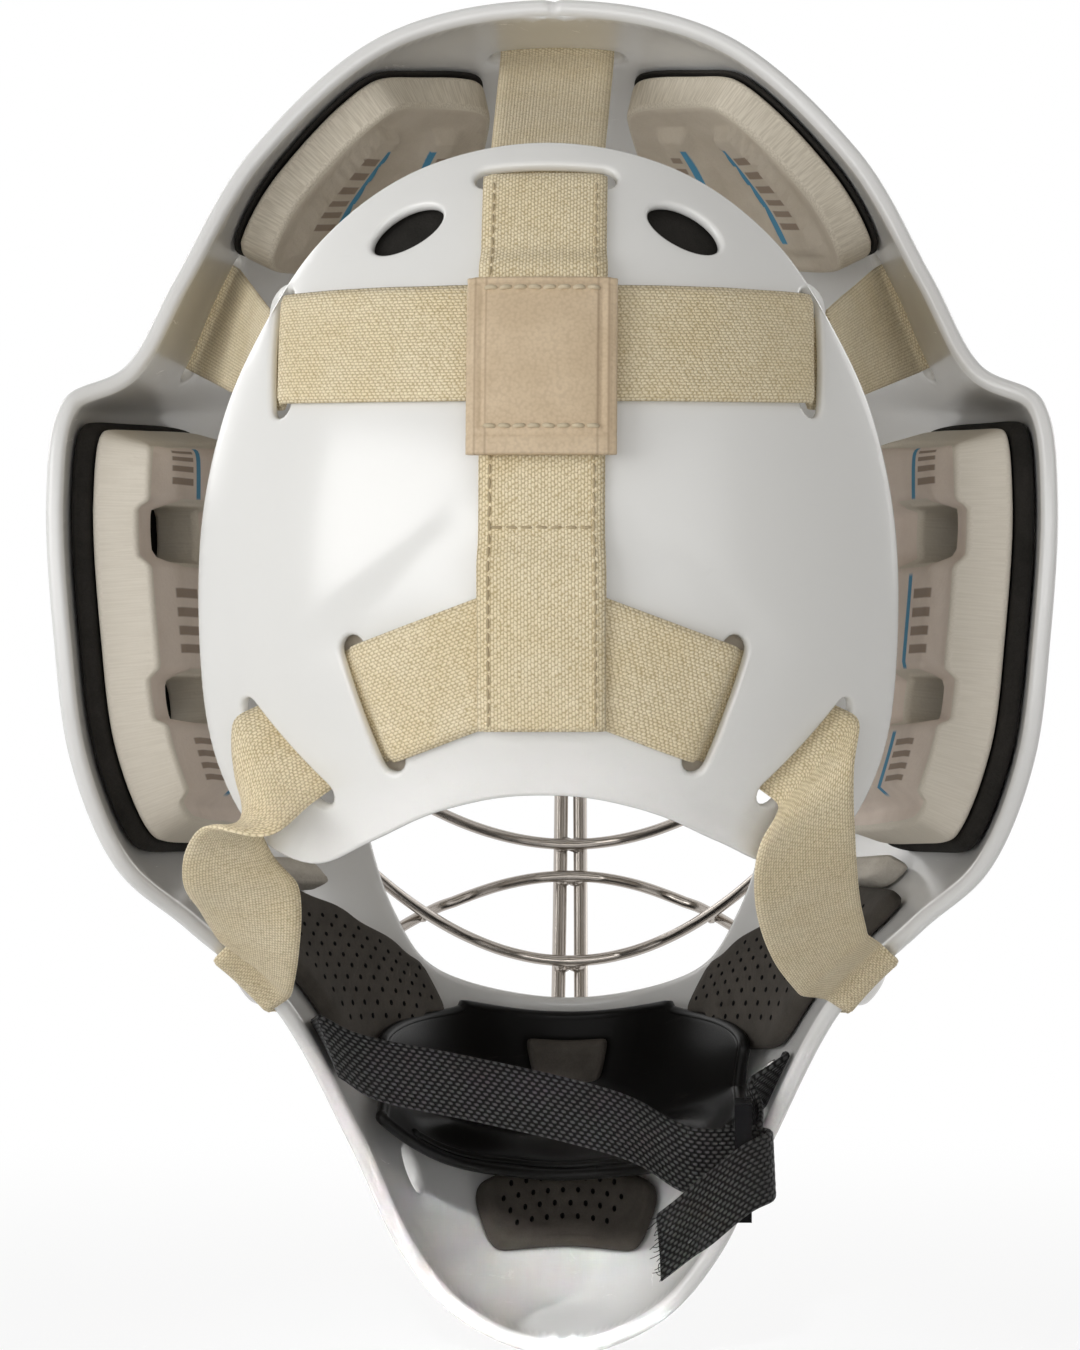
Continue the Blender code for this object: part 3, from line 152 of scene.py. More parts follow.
def shellSkin(u, v):
    u, v = np.broadcast_arrays(np.asarray(u, float), np.asarray(v, float))
    row = splineAt(stationRows, v + 1)
    frontY, frontZ, rimX, rimY, rimZ = (row[..., k] for k in range(5))
    t, full = np.abs(u), shell["fullness"]
    x = bezierAt(0, full * rimX, rimX, rimX, t) * np.where(u < 0, -1, 1)
    y = bezierAt(frontY, frontY, rimY + full * (frontY - rimY), rimY, t)
    z = bezierAt(frontZ, frontZ, rimZ, rimZ, t)
    return np.stack([x, y, z], axis=-1)


def shellNormal(u, v):
    u, v = np.broadcast_arrays(np.asarray(u, float), np.asarray(v, float))
    pole, step = 0.04, 2e-3
    v = np.clip(v, pole, lastStation - pole)  # kept off the two ends, where the rows close
    across = shellSkin(u + step, v) - shellSkin(u - step, v)
    down = shellSkin(u, v + step) - shellSkin(u, v - step)
    normal = unit(np.cross(across, down))
    outward = np.sum(normal * (shellSkin(u, v) - headCenter), axis=-1, keepdims=True)
    return np.where(outward < 0, -normal, normal)


def shellAt(u, v, depth):
    return shellSkin(u, v) - shellNormal(u, v) * np.asarray(depth, float)[..., None]


def shellFrame(u, v):  # middle of the wall, direction down the shell, outward normal
    down = shellSkin(u, v + 0.05) - shellSkin(u, v - 0.05)
    return shellAt(u, v, shell["wall"] / 2), unit(down), shellNormal(u, v)


def crownFrame():
    point, _, normal = shellFrame(0.0, shell["crownSlot"])
    return point, np.array((1.0, 0, 0)), normal


def templeFrame(sign):
    return shellFrame(sign * shell["templeSlot"][0], shell["templeSlot"][1])


class ShellChart:  # flat map of the shell, close to true lengths, for cutting it out
    def __init__(self):
        self.v = np.linspace(0, lastStation, 301)
        us = np.linspace(0, 1, 41)
        rows = shellSkin(us[None, :], self.v[:, None])
        self.girth = np.linalg.norm(np.diff(rows, axis=1), axis=2).sum(axis=1) + 1e-6
        pace = np.linalg.norm(np.diff(rows[:, (0, 20, 34)], axis=0), axis=2).mean(axis=1)  # mean of three lines down
        self.down = np.concatenate([[0], np.cumsum(pace)])

    def toMap(self, u, v):
        return np.stack([u * np.interp(v, self.v, self.girth), np.interp(v, self.v, self.down)], axis=-1)

    def fromMap(self, spots):
        v = np.interp(spots[..., 1], self.down, self.v)
        return spots[..., 0] / np.interp(v, self.v, self.girth), v

    def uv(self, spots):
        return spots

    def at(self, spots, depth):
        u, v = self.fromMap(spots)
        return shellAt(u, v, np.broadcast_to(depth, u.shape))

    def normal(self, spots):
        return shellNormal(*self.fromMap(spots))


# back plate surface: an ellipsoid round the back of the head, with a softly raised middle

plate = dict(
    center=np.array((0, -8, 15)) * mm, radii=np.array((104, 110, 133)) * mm,
    wall=3.2 * mm, edge=1.45 * mm, spacing=2.6 * mm, loopStep=1.5 * mm,
    outline=((0, 119), (32, 112.5), (57, 94.5), (74, 68), (83, 45), (87.5, 18), (86.5, -12), (82, -35),
             (72, -53), (57, -60), (42, -54), (28, -47.5), (13, -43.5), (0, -42.5)),
    vent=(34.5, 96.5), ventSize=(20 * mm, 12 * mm), ventSlope=radians(27),
    topSlot=110 * mm, sideSlot=(66, 66.5), vSlot=(42.5, -21), lateralSlot=(65, -33), lateralRun=(17, 18.5),
    lip=dict(height=1.8 * mm, band=9 * mm, top=20 * mm, ease=60 * mm),
    ridge=dict(start=(25 * mm, 30 * mm), end=(58 * mm, 1 * mm), width=9 * mm, depth=1.1 * mm, before=8 * mm,
               after=12 * mm, ease=16 * mm, reach=46 * mm, fade=30 * mm),
)


def platePoint(x, z, height):
    x, z = np.asarray(x, float), np.asarray(z, float)
    radii = plate["radii"]
    fall = 1 - (x / (radii[0] + height)) ** 2 - ((z - plate["center"][2]) / (radii[2] + height)) ** 2
    y = plate["center"][1] - (radii[1] + height) * np.sqrt(np.maximum(fall, 0))
    return np.stack([x, y, z], axis=-1)


def plateNormal(x, z):
    return unit((platePoint(x, z, 0.0) - plate["center"]) / plate["radii"] ** 2)


def plateAt(x, z, height):
    return platePoint(x, z, 0.0) + plateNormal(x, z) * np.asarray(height, float)[..., None]


class PlateChart:  # flat map of the plate, true along lines from its back pole
    reach = 115 * mm

    def toMap(self, x, z):
        n = np.stack([np.asarray(x) / plate["radii"][0], (np.asarray(z) - plate["center"][2]) / plate["radii"][2]], -1)
        size = np.linalg.norm(n, axis=-1, keepdims=True)
        return n / np.maximum(size, 1e-9) * np.arcsin(np.clip(size, 0, 1)) * self.reach

    def fromMap(self, spots):
        size = np.linalg.norm(spots, axis=-1, keepdims=True)
        n = spots / np.maximum(size, 1e-9) * np.sin(size / self.reach)
        return n[..., 0] * plate["radii"][0], n[..., 1] * plate["radii"][2] + plate["center"][2]

    def uv(self, spots):
        return spots

    def at(self, spots, depth):
        x, z = self.fromMap(spots)
        return plateAt(x, z, plateRelief(x, z) - depth)

    def normal(self, spots):
        step = 0.3 * mm
        along = self.at(spots + (step, 0), 0) - self.at(spots - (step, 0), 0)
        up = self.at(spots + (0, step), 0) - self.at(spots - (0, step), 0)
        return unit(np.cross(along, up))


plateEdge = mirroredOutline(plate["outline"], 240)


def plateRelief(x, z):  # moulded step beside the straps and the rolled lip of the nape edge
    ridge, lip = plate["ridge"], plate["lip"]
    run = np.array(ridge["end"]) - np.array(ridge["start"])
    length = np.linalg.norm(run)
    dx, dz = np.abs(x) - ridge["start"][0], z - ridge["start"][1]
    along = (dx * run[0] + dz * run[1]) / length
    below = (dz * run[0] - dx * run[1]) / -length
    held = smooth((along + ridge["before"]) / ridge["ease"]) * smooth((length + ridge["after"] - along) / ridge["ease"])
    dip = smooth(below / ridge["width"]) * smooth((ridge["reach"] - below) / ridge["fade"])
    low = smooth((lip["top"] - z) / lip["ease"])
    spots = np.stack(np.broadcast_arrays(x, z), axis=-1)
    gap = nearestGap(spots.reshape(-1, 2), [plateEdge]).reshape(spots.shape[:-1])
    return lip["height"] * low * smooth(1 - gap / lip["band"]) - ridge["depth"] * held * dip


# meshes

class Parts:  # gathers vertices and faces of one piece
    def __init__(self):
        self.verts, self.faces, self.uvs, self.total = [], [], [], 0

    def add(self, verts, faces, uv=None):
        verts = np.asarray(verts, float).reshape(-1, 3)
        self.verts.append(verts)
        self.uvs.append(np.zeros((len(verts), 2)) if uv is None else np.asarray(uv, float).reshape(-1, 2))
        self.faces += [tuple(int(i) + self.total for i in face) for face in faces]
        self.total += len(verts)
        return self

    def piece(self, name, material, body="mask", slot=None, stands=(), sharp=None, ride=True):
        mesh = bpy.data.meshes.new(name)
        mesh.from_pydata(np.vstack(self.verts).tolist(), [], self.faces)
        layer = mesh.uv_layers.new(name="weave")
        corner = np.zeros(len(mesh.loops), np.int32)
        mesh.loops.foreach_get("vertex_index", corner)
        layer.data.foreach_set("uv", np.vstack(self.uvs)[corner].astype(np.float32).ravel())
        bm = bmesh.new()
        bm.from_mesh(mesh)
        bmesh.ops.recalc_face_normals(bm, faces=bm.faces)
        bm.to_mesh(mesh)
        bm.free()
        mesh.shade_smooth()
        if sharp:
            mesh.set_sharp_from_angle(angle=sharp)
        mesh.materials.append(material)
        obj = bpy.data.objects.new(name, mesh)
        bpy.context.scene.collection.objects.link(obj)
        if stands:
            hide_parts(*stands)
        if ride:
            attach(obj, body)
        return obj


def gridFaces(rows, columns, start=0, wrap=False):
    faces = []
    for i in range(rows - 1):
        for k in range(columns if wrap else columns - 1):
            a, b = start + i * columns + k, start + i * columns + (k + 1) % columns
            faces.append((a, b, b + columns, a + columns))
    return faces


def insideLoop(spots, loop):
    x, y = spots[:, 0], spots[:, 1]
    within = np.zeros(len(spots), bool)
    for (ax, ay), (bx, by) in zip(loop, np.roll(loop, -1, axis=0)):
        if ay == by:
            continue
        crosses = (ay > y) != (by > y)
        within ^= crosses & (x < ax + (y - ay) * (bx - ax) / (by - ay))
    return within


def nearestGap(spots, loops):
    points = np.vstack(loops)
    gap = np.empty(len(spots))
    for k in range(0, len(spots), 2000):
        gap[k:k + 2000] = np.sqrt(((spots[k:k + 2000, None] - points[None]) ** 2).sum(-1)).min(axis=1)
    return gap


def insideRim(spots, borders):  # inside the first border and outside the others
    keep = insideLoop(spots, borders[0])
    for hole in borders[1:]:
        keep &= ~insideLoop(spots, hole)
    return keep


edgeSteps = 5  # rings in each quarter turn of a rounded edge
cutMark = dict(rim=-10.0, hole=30.0)  # v where cut sides start, far off a face's own; rims count down, holes up


def roundedEdge(chart, loop, wall, edge, isHole):  # the border of the flat faces and the rings between them
    area = np.sum(loop[:, 0] * np.roll(loop[:, 1], -1) - loop[:, 1] * np.roll(loop[:, 0], -1))
    loop = loop if area > 0 else loop[::-1]
    run = unit(np.roll(loop, -1, axis=0) - np.roll(loop, 1, axis=0))
    inward = np.stack([-run[:, 1], run[:, 0]], axis=1) * (-1 if isHole else 1)
    point, normal = chart.at(loop, 0.0), chart.normal(loop)
    probe = 0.3 * mm
    lead = chart.at(loop + inward * probe, 0.0) - point
    pace = np.linalg.norm(lead, axis=1, keepdims=True) / probe
    lead = unit(lead - normal * np.sum(lead * normal, axis=1, keepdims=True))
    border = loop + inward * edge / pace
    deep = np.linalg.norm(chart.at(loop, wall) - point, axis=1, keepdims=True)
    outer, inner = point + lead * edge - normal * edge, point + lead * edge - normal * (deep - edge)
    turns = np.linspace(0, pi / 2, edgeSteps + 1)
    ring = [chart.at(border, 0.0)]
    ring += [outer + edge * (normal * cos(a) - lead * sin(a)) for a in turns[1:]]
    ring += [inner - edge * (lead * cos(a) + normal * sin(a)) for a in turns[:-1]]
    return border, ring + [chart.at(border, wall)]


def latticeIn(borders, spacing):  # staggered spots over a sheet, kept off its borders
    rowShare, clear = 0.866, 0.62
    low, high = borders[0].min(axis=0), borders[0].max(axis=0)
    across = np.arange(low[0], high[0], spacing)
    down = np.arange(low[1], high[1], spacing * rowShare)
    spots = np.array([(x + (spacing / 2 if j % 2 else 0), y) for j, y in enumerate(down) for x in across])
    spots = spots[insideRim(spots, borders)]
    return spots[nearestGap(spots, borders) > clear * spacing]


def trimmedSheet(chart, rim, holes, wall, edge, spacing, holeEdge=None, sideUv=False):
    # a curved sheet cut to its rim and holes, every edge rounded
    shaped = [roundedEdge(chart, rim, wall, edge, False)]
    shaped += [roundedEdge(chart, hole, wall, holeEdge or edge, True) for hole in holes]
    borders = [border for border, _ in shaped]
    edges, start = [], 0
    for border in borders:
        size = len(border)
        edges += [(start + k, start + (k + 1) % size) for k in range(size)]
        start += size
    spots = np.vstack(borders + [latticeIn(borders, spacing)])
    found = delaunay_2d_cdt([Vector(spot) for spot in spots], edges, [], 0, 1e-7)
    flat, triangles = (np.array([tuple(item) for item in found[k]]) for k in (0, 2))
    triangles = triangles[insideRim(flat[triangles].mean(axis=1), borders)]
    count = len(flat)
    parts = Parts().add(np.vstack([chart.at(flat, 0.0), chart.at(flat, wall)]),
                        np.vstack([triangles, triangles[:, ::-1] + count]), np.vstack([chart.uv(flat)] * 2))
    start = 0
    for order, (border, ring) in enumerate(shaped):
        size, base, steps = len(border), parts.total, range(len(ring) - 2)
        around = np.linalg.norm(np.roll(ring[0], -1, axis=0) - ring[0], axis=1).cumsum()
        levels = [cutMark["hole"] + j if order else cutMark["rim"] - j for j in steps]
        cutUv = [np.stack([around, np.full(size, level)], axis=1) for level in levels]
        parts.add(np.vstack(ring[1:-1]), [], np.vstack(cutUv if sideUv else [chart.uv(border) for _ in steps]))
        lines = [np.arange(start, start + size)]
        lines += [base + j * size + np.arange(size) for j in steps]
        lines.append(count + np.arange(start, start + size))
        for upper, lower in zip(lines, lines[1:]):
            for k in range(size):
                m = (k + 1) % size
                parts.faces.append((int(upper[k]), int(upper[m]), int(lower[m]), int(lower[k])))
        start += size
    return parts


def chartNear(chart, targets, guess):  # map spots whose surface points lie nearest the targets
    spots = np.array(np.broadcast_to(guess, (len(targets), 2)), float)
    step = 0.2 * mm
    for _ in range(8):
        here = chart.at(spots, 0.0)
        a = (chart.at(spots + (step, 0), 0.0) - here) / step
        b = (chart.at(spots + (0, step), 0.0) - here) / step
        miss = targets - here
        aa, ab, bb = (a * a).sum(1), (a * b).sum(1), (b * b).sum(1)
        ra, rb = (a * miss).sum(1), (b * miss).sum(1)
        det = aa * bb - ab * ab
        spots = spots + np.stack([(ra * bb - rb * ab) / det, (rb * aa - ra * ab) / det], axis=1)
    return spots


def stadium(length, width, step):
    r, reach = width / 2, max(length / 2 - width / 2, 0.0)
    turns = np.linspace(-pi / 2, pi / 2, 10)
    right = [(reach + r * cos(a), r * sin(a)) for a in turns]
    return evenLoop(right + [(-x, -y) for x, y in right], step)


def oval(length, width, step):
    turns = np.linspace(0, 2 * pi, 80, endpoint=False)
    return evenLoop([(length / 2 * cos(a), width / 2 * sin(a)) for a in turns], step)


def holeLoop(chart, outline, frameOf, guess):  # an outline laid on the surface round a frame
    point, along, normal = (np.asarray(v, float) for v in frameOf)
    x = unit(along - normal * np.dot(along, normal))
    y = np.cross(normal, x)
    return chartNear(chart, point + outline[:, :1] * x + outline[:, 1:] * y, guess)


def frontSpot(x, z):  # (u, v) of the shell's front wall at (x, z)
    x, z = np.asarray(x, float), np.asarray(z, float)
    u, v = np.abs(x) / (120 * mm), np.interp(-z, [-0.05, 0.105], [5.2, 11.0])
    step, pull = 1e-3, 0.8
    for _ in range(30):  # closes in on the spot from that first guess
        here = shellSkin(u, v)
        a, b = (shellSkin(u + step, v) - here) / step, (shellSkin(u, v + step) - here) / step
        mx, mz = np.abs(x) - here[..., 0], z - here[..., 2]
        det = a[..., 0] * b[..., 2] - b[..., 0] * a[..., 2]
        u = np.clip(u + pull * (mx * b[..., 2] - mz * b[..., 0]) / det, 0.0, 0.98)
        v = np.clip(v + pull * (mz * a[..., 0] - mx * a[..., 2]) / det, 1.0, lastStation - 1.0)
    return u * np.where(x < 0, -1, 1), v


def ribbon(rows, thickness, swell, step=1.5 * mm, lanes=13, soften=3, edge=0.16):
    # a flat strap through rows of three points each, with soft edges; uv counts metres along and across
    rows = np.asarray(rows, float)
    middle = rows[:, 1]
    run = np.concatenate([[0], np.cumsum(np.linalg.norm(np.diff(middle, axis=0), axis=1))])
    count = max(int(run[-1] / step), 8)
    marks = np.linspace(0, run[-1], count)
    flat = rows.reshape(len(rows), 9)
    even = np.stack([np.interp(marks, run, flat[:, k]) for k in range(9)], axis=1)
    for _ in range(soften):
        even[1:-1] = 0.25 * even[:-2] + 0.5 * even[1:-1] + 0.25 * even[2:]
    left, mid, right = even[:, 0:3], even[:, 3:6], even[:, 6:9]
    s = np.linspace(-1, 1, lanes)
    s = np.sign(s) * np.abs(s) ** 0.8
    bow = (left + right) / 2 - mid
    grid = mid[:, None] + s[None, :, None] * ((right - left) / 2)[:, None] + (s ** 2)[None, :, None] * bow[:, None]
    normal = unit(np.cross(np.gradient(grid, axis=0), np.gradient(grid, axis=1)))
    over = np.clip((np.abs(s) - (1 - edge)) / edge, 0, 1)
    half = thickness / 2 * np.maximum(np.sqrt(1 - over ** 2), 0.3)
    half = np.broadcast_to(half[None, :], grid.shape[:2])
    lift = half + swell(marks[:, None], s[None, :])
    top, bottom = grid + normal * lift[..., None], grid - normal * half[..., None]
    size = count * lanes
    faces = gridFaces(count, lanes) + [face[::-1] for face in gridFaces(count, lanes, size)]
    for i in range(count - 1):
        for lane in (0, lanes - 1):
            a, b = i * lanes + lane, (i + 1) * lanes + lane
            faces.append((a, b, b + size, a + size))
    for i in (0, count - 1):
        for k in range(lanes - 1):
            a, b = i * lanes + k, i * lanes + k + 1
            faces.append((a, b, b + size, a + size))
    width = np.linalg.norm(right - left, axis=1).mean()
    along = np.cumsum(np.concatenate([[0], np.linalg.norm(np.diff(mid, axis=0), axis=1)]))
    uv = np.stack(np.broadcast_arrays(along[:, None], s[None, :] * width / 2), axis=-1).reshape(-1, 2)
    sheetOf = dict(grid=grid, normal=normal, along=along, s=s, width=width, lift=lift)
    return Parts().add(np.vstack([top.reshape(-1, 3), bottom.reshape(-1, 3)]), faces, np.vstack([uv, uv])), sheetOf


def onRibbon(sheetOf, along, across):  # a point on a strap's face, its normal and its run
    i = np.interp(along, sheetOf["along"], np.arange(len(sheetOf["along"])))
    k = np.interp(across / (sheetOf["width"] / 2), sheetOf["s"], np.arange(len(sheetOf["s"])))
    a, b = int(min(i, len(sheetOf["along"]) - 2)), int(min(k, len(sheetOf["s"]) - 2))
    f, g = i - a, k - b
    pick = lambda grid: ((1 - f) * (1 - g) * grid[a, b] + f * (1 - g) * grid[a + 1, b]
                         + (1 - f) * g * grid[a, b + 1] + f * g * grid[a + 1, b + 1])
    normal = unit(pick(sheetOf["normal"]))
    run = unit(sheetOf["grid"][a + 1, b] - sheetOf["grid"][a, b])
    return pick(sheetOf["grid"]) + normal * pick(sheetOf["lift"]), normal, run


stitch = dict(length=2.6 * mm, pitch=3.4 * mm, radius=0.38 * mm, slant=0.10)


def stitchRow(parts, sheetOf, start, end, look=stitch):
    # a row of thread stitches between two marks (along, across), each a bowed bead sunk at its ends
    start, end = np.array(start), np.array(end)
    length, radius = look["length"], look["radius"]
    aim = unit(end - start)
    count = max(int(np.linalg.norm(end - start) / look["pitch"]), 1)
    shares = np.linspace(-1, 1, 7)
    for k in range(count):
        middle = start + (end - start) * (k + 0.5) / count
        point, normal, run = onRibbon(sheetOf, middle[0], middle[1])
        heading = unit(run * aim[0] - np.cross(normal, run) * aim[1])
        slope = rng.uniform(-look["slant"], look["slant"])
        heading = unit(heading + np.cross(normal, heading) * slope)
        path = [point + heading * length / 2 * t + normal * radius * (0.75 - 1.5 * t * t) for t in shares]
        parts.add(*tube(path, radius * np.sqrt(np.maximum(1 - 0.55 * shares ** 4, 0.2)), 6))


def tube(points, radius, count, closed=False):
    points = np.asarray(points, float)
    size = len(points)
    radius = np.broadcast_to(radius, (size,))
    if closed:
        run = unit(np.roll(points, -1, axis=0) - np.roll(points, 1, axis=0))
    else:
        run = unit(np.gradient(points, axis=0))
    seed = np.array((0, 0, 1.0)) if abs(run[0][2]) < 0.9 else np.array((1.0, 0, 0))
    side = unit(np.cross(run[0], seed))
    frames = []
    for k in range(size):
        side = unit(side - run[k] * np.dot(side, run[k]))
        frames.append((side, np.cross(run[k], side)))
    if closed:  # take up the frame's turn over the loop
        first, last = frames[0], unit(frames[-1][0] - run[0] * np.dot(frames[-1][0], run[0]))
        drift = np.arctan2(np.dot(np.cross(last, first[0]), run[0]), np.dot(last, first[0]))
    else:
        drift = 0.0
    turns = np.linspace(0, 2 * pi, count, endpoint=False)
    rings = []
    for k, (a, b) in enumerate(frames):
        turn = turns + drift * k / size
        rings.append(points[k] + radius[k] * (np.cos(turn)[:, None] * a + np.sin(turn)[:, None] * b))
    faces = gridFaces(size, count, wrap=True)
    if closed:
        last = (size - 1) * count
        faces += [(last + k, last + (k + 1) % count, (k + 1) % count, k) for k in range(count)]
    else:
        faces += [tuple(range(count)), tuple(range((size - 1) * count, size * count))]
    return np.vstack(rings), faces


def turned(profile, frameOf, count=40):  # a turned form on a frame (foot point, normal)
    point, normal = (np.asarray(v, float) for v in frameOf)
    x = unit(np.cross(normal, (0.3, 0.5, 0.81)))
    y = np.cross(normal, x)
    turns = np.linspace(0, 2 * pi, count, endpoint=False)
    rings = [point + normal * h + r * (np.cos(turns)[:, None] * x + np.sin(turns)[:, None] * y) for r, h in profile]
    faces = gridFaces(len(profile), count, wrap=True)
    faces += [tuple(range(count)), tuple(range((len(profile) - 1) * count, len(profile) * count))]
    return np.vstack(rings), faces


# materials

def feed(tree, value, socket):  # links a socket, or sets the one it would go to
    if isinstance(value, bpy.types.NodeSocket):
        tree.links.new(value, socket)
    else:
        socket.default_value = value


def node(tree, kind, inputs=None, **settings):
    made = tree.nodes.new(kind)
    for key, value in settings.items():
        setattr(made, key, value)
    for key, value in (inputs or {}).items():
        feed(tree, value, made.inputs[key])
    return made


def calc(tree, operation, *values):
    return node(tree, "ShaderNodeMath", dict(enumerate(values)), operation=operation).outputs[0]


def plus(tree, base, value, share):
    return calc(tree, "ADD", base, calc(tree, "MULTIPLY", value, share))


def vectorCalc(tree, operation, *values):
    return node(tree, "ShaderNodeVectorMath", dict(enumerate(values)), operation=operation).outputs[0]


def noise(tree, place, scale, detail, roughness=0.5):
    made = node(tree, "ShaderNodeTexNoise", {"Vector": place, "Scale": scale, "Detail": detail,
                                             "Roughness": roughness})
    return made.outputs[0]


def opaque(color):
    return color if isinstance(color, bpy.types.NodeSocket) else (*color, 1)


def mixColor(tree, factor, a, b, blend="MIX"):
    made = node(tree, "ShaderNodeMix", {0: factor, 6: opaque(a), 7: opaque(b)}, data_type="RGBA", blend_type=blend)
    return made.outputs[2]


def ramp(tree, value, low, high, start=0.0, end=1.0):
    made = node(tree, "ShaderNodeMapRange", {"Value": value, "From Min": low, "From Max": high,
                                             "To Min": start, "To Max": end}, interpolation_type="SMOOTHSTEP")
    return made.outputs["Result"]


def window(tree, value, low, high, soft):  # 1 between two soft edges
    falling = calc(tree, "SUBTRACT", 1.0, ramp(tree, value, high - soft, high + soft))
    return calc(tree, "MULTIPLY", ramp(tree, value, low - soft, low + soft), falling)


def weaveUv(tree):
    return node(tree, "ShaderNodeSeparateXYZ", {0: node(tree, "ShaderNodeUVMap", uv_map="weave").outputs[0]}).outputs


def shaderGroup(name, inputs, outputs):
    tree = bpy.data.node_groups.new(name, "ShaderNodeTree")
    for label, kind, value in inputs:
        socket = tree.interface.new_socket(name=label, in_out="INPUT", socket_type="NodeSocket" + kind)
        if value is not None:
            socket.default_value = value
    for label, kind in outputs:
        tree.interface.new_socket(name=label, in_out="OUTPUT", socket_type="NodeSocket" + kind)
    return tree, tree.nodes.new("NodeGroupInput").outputs, tree.nodes.new("NodeGroupOutput").inputs


def weaveGroup():  # interlaced ribs of a narrow fabric, from metres along and across it
    tree, take, give = shaderGroup(
        "narrowWeave",
        [("Along", "Float", 0.0), ("Across", "Float", 0.0), ("Rib Length", "Float", 1.2 * mm),
         ("Rib Width", "Float", 0.9 * mm), ("Unevenness", "Float", 0.3), ("Step", "Float", 0.5),
         ("Gap", "Float", 0.15), ("Position", "Vector", None)],
        [("Height", "Float"), ("Shade", "Float")])
    drift = calc(tree, "SUBTRACT", noise(tree, take["Position"], 900.0, 3.0), 0.5)
    sway = calc(tree, "MULTIPLY", drift, take["Unevenness"])
    lane = calc(tree, "ADD", calc(tree, "DIVIDE", take["Across"], take["Rib Width"]), 400.0)  # never below zero
    lane = plus(tree, lane, sway, 0.35)
    shift = calc(tree, "FRACT", calc(tree, "MULTIPLY", calc(tree, "FLOOR", lane), take["Step"]))
    run = calc(tree, "ADD", calc(tree, "DIVIDE", take["Along"], take["Rib Length"]), shift)
    run = calc(tree, "ADD", run, sway)
    bead = calc(tree, "ABSOLUTE", calc(tree, "SINE", calc(tree, "MULTIPLY", run, pi)))
    rib = calc(tree, "SINE", calc(tree, "MULTIPLY", calc(tree, "FRACT", lane), pi))
    form = calc(tree, "MULTIPLY", calc(tree, "POWER", bead, 0.6), calc(tree, "POWER", rib, 0.5))
    height = plus(tree, form, sway, 0.7)
    tree.links.new(height, give["Height"])
    tree.links.new(ramp(tree, height, take["Gap"], 1.0), give["Shade"])
    return tree


def foamGroup():  # closed cells of cut or moulded foam
    tree, take, give = shaderGroup(
        "foamCells", [("Position", "Vector", None), ("Cell Scale", "Float", 900.0), ("Cloud Scale", "Float", 45.0)],
        [("Height", "Float"), ("Mottle", "Float")])
    cells = node(tree, "ShaderNodeTexVoronoi", {"Vector": take["Position"], "Scale": take["Cell Scale"]}).outputs[0]
    clouds = noise(tree, take["Position"], take["Cloud Scale"], 5.0, 0.6)
    fine = noise(tree, take["Position"], 2600.0, 2.0)
    tree.links.new(plus(tree, calc(tree, "MULTIPLY", cells, 0.8), fine, 0.5), give["Height"])
    tree.links.new(plus(tree, calc(tree, "MULTIPLY", clouds, 0.75), fine, 0.25), give["Mottle"])
    return tree


def handlingGroup():  # fine scuffs and wipe marks of a handled surface
    tree, take, give = shaderGroup(
        "handlingWear", [("Position", "Vector", None), ("Scuff Scale", "Float", 60.0), ("Amount", "Float", 0.5)],
        [("Scuff", "Float"), ("Haze", "Float")])
    bent = node(tree, "ShaderNodeTexNoise", {"Vector": take["Position"], "Scale": 22.0, "Detail": 2.0}).outputs[1]
    warped = vectorCalc(tree, "ADD", take["Position"], vectorCalc(tree, "MULTIPLY", bent, (0.03, 0.03, 0.03)))
    stretched = vectorCalc(tree, "MULTIPLY", warped, (1.0, 0.35, 6.0))
    lines = noise(tree, stretched, take["Scuff Scale"], 8.0, 0.75)
    haze = noise(tree, take["Position"], 14.0, 6.0)
    for mask, label in ((ramp(tree, lines, 0.60, 0.74), "Scuff"), (ramp(tree, haze, 0.35, 0.75), "Haze")):
        tree.links.new(calc(tree, "MULTIPLY", mask, take["Amount"]), give[label])
    return tree


weave, foamCells, handling = weaveGroup(), foamGroup(), handlingGroup()


def material(name, roughness, **sockets):
    made = bpy.data.materials.new(name)
    made.use_nodes = True
    tree = made.node_tree
    shader = tree.nodes["Principled BSDF"]
    shader.inputs["Roughness"].default_value = roughness
    for label, value in sockets.items():
        shader.inputs[label].default_value = value
    place = node(tree, "ShaderNodeTexCoord").outputs["Object"]
    return made, tree, shader, place


def useGroup(tree, group, **inputs):
    made = tree.nodes.new("ShaderNodeGroup")
    made.node_tree = group
    for label, value in inputs.items():
        feed(tree, value, made.inputs[label.replace("_", " ")])
    return made.outputs


def bump(tree, shader, height, strength, distance):
    made = node(tree, "ShaderNodeBump", {"Strength": strength, "Distance": distance, "Height": height})
    tree.links.new(made.outputs[0], shader.inputs["Normal"])


def worn(name, look, **sockets):  # a handled surface, rougher where it is hazed or scuffed
    made, tree, shader, place = material(name, look["rough"], **sockets)
    wear = useGroup(tree, handling, Position=place, Scuff_Scale=look["scuffScale"], Amount=look["wear"])
    hazed = plus(tree, look["rough"], wear["Haze"], look["hazeRough"])
    tree.links.new(plus(tree, hazed, wear["Scuff"], look["scuffRough"]), shader.inputs["Roughness"])
    return made, tree, shader, place, wear


def glossWhite(name, look):
    made, tree, shader, place, wear = worn(name, look, **{
        "Coat Weight": look["coat"], "Coat Roughness": look["coatRough"], "IOR": 1.5})
    color = mixColor(tree, wear["Haze"], look["color"], look["shade"])
    color = mixColor(tree, calc(tree, "MULTIPLY", wear["Scuff"], look["scuffShare"]), color, look["scuff"])
    tree.links.new(color, shader.inputs["Base Color"])
    bump(tree, shader, noise(tree, place, look["orangePeel"], 2.0), look["peelStrength"], 0.2 * mm)
    return made


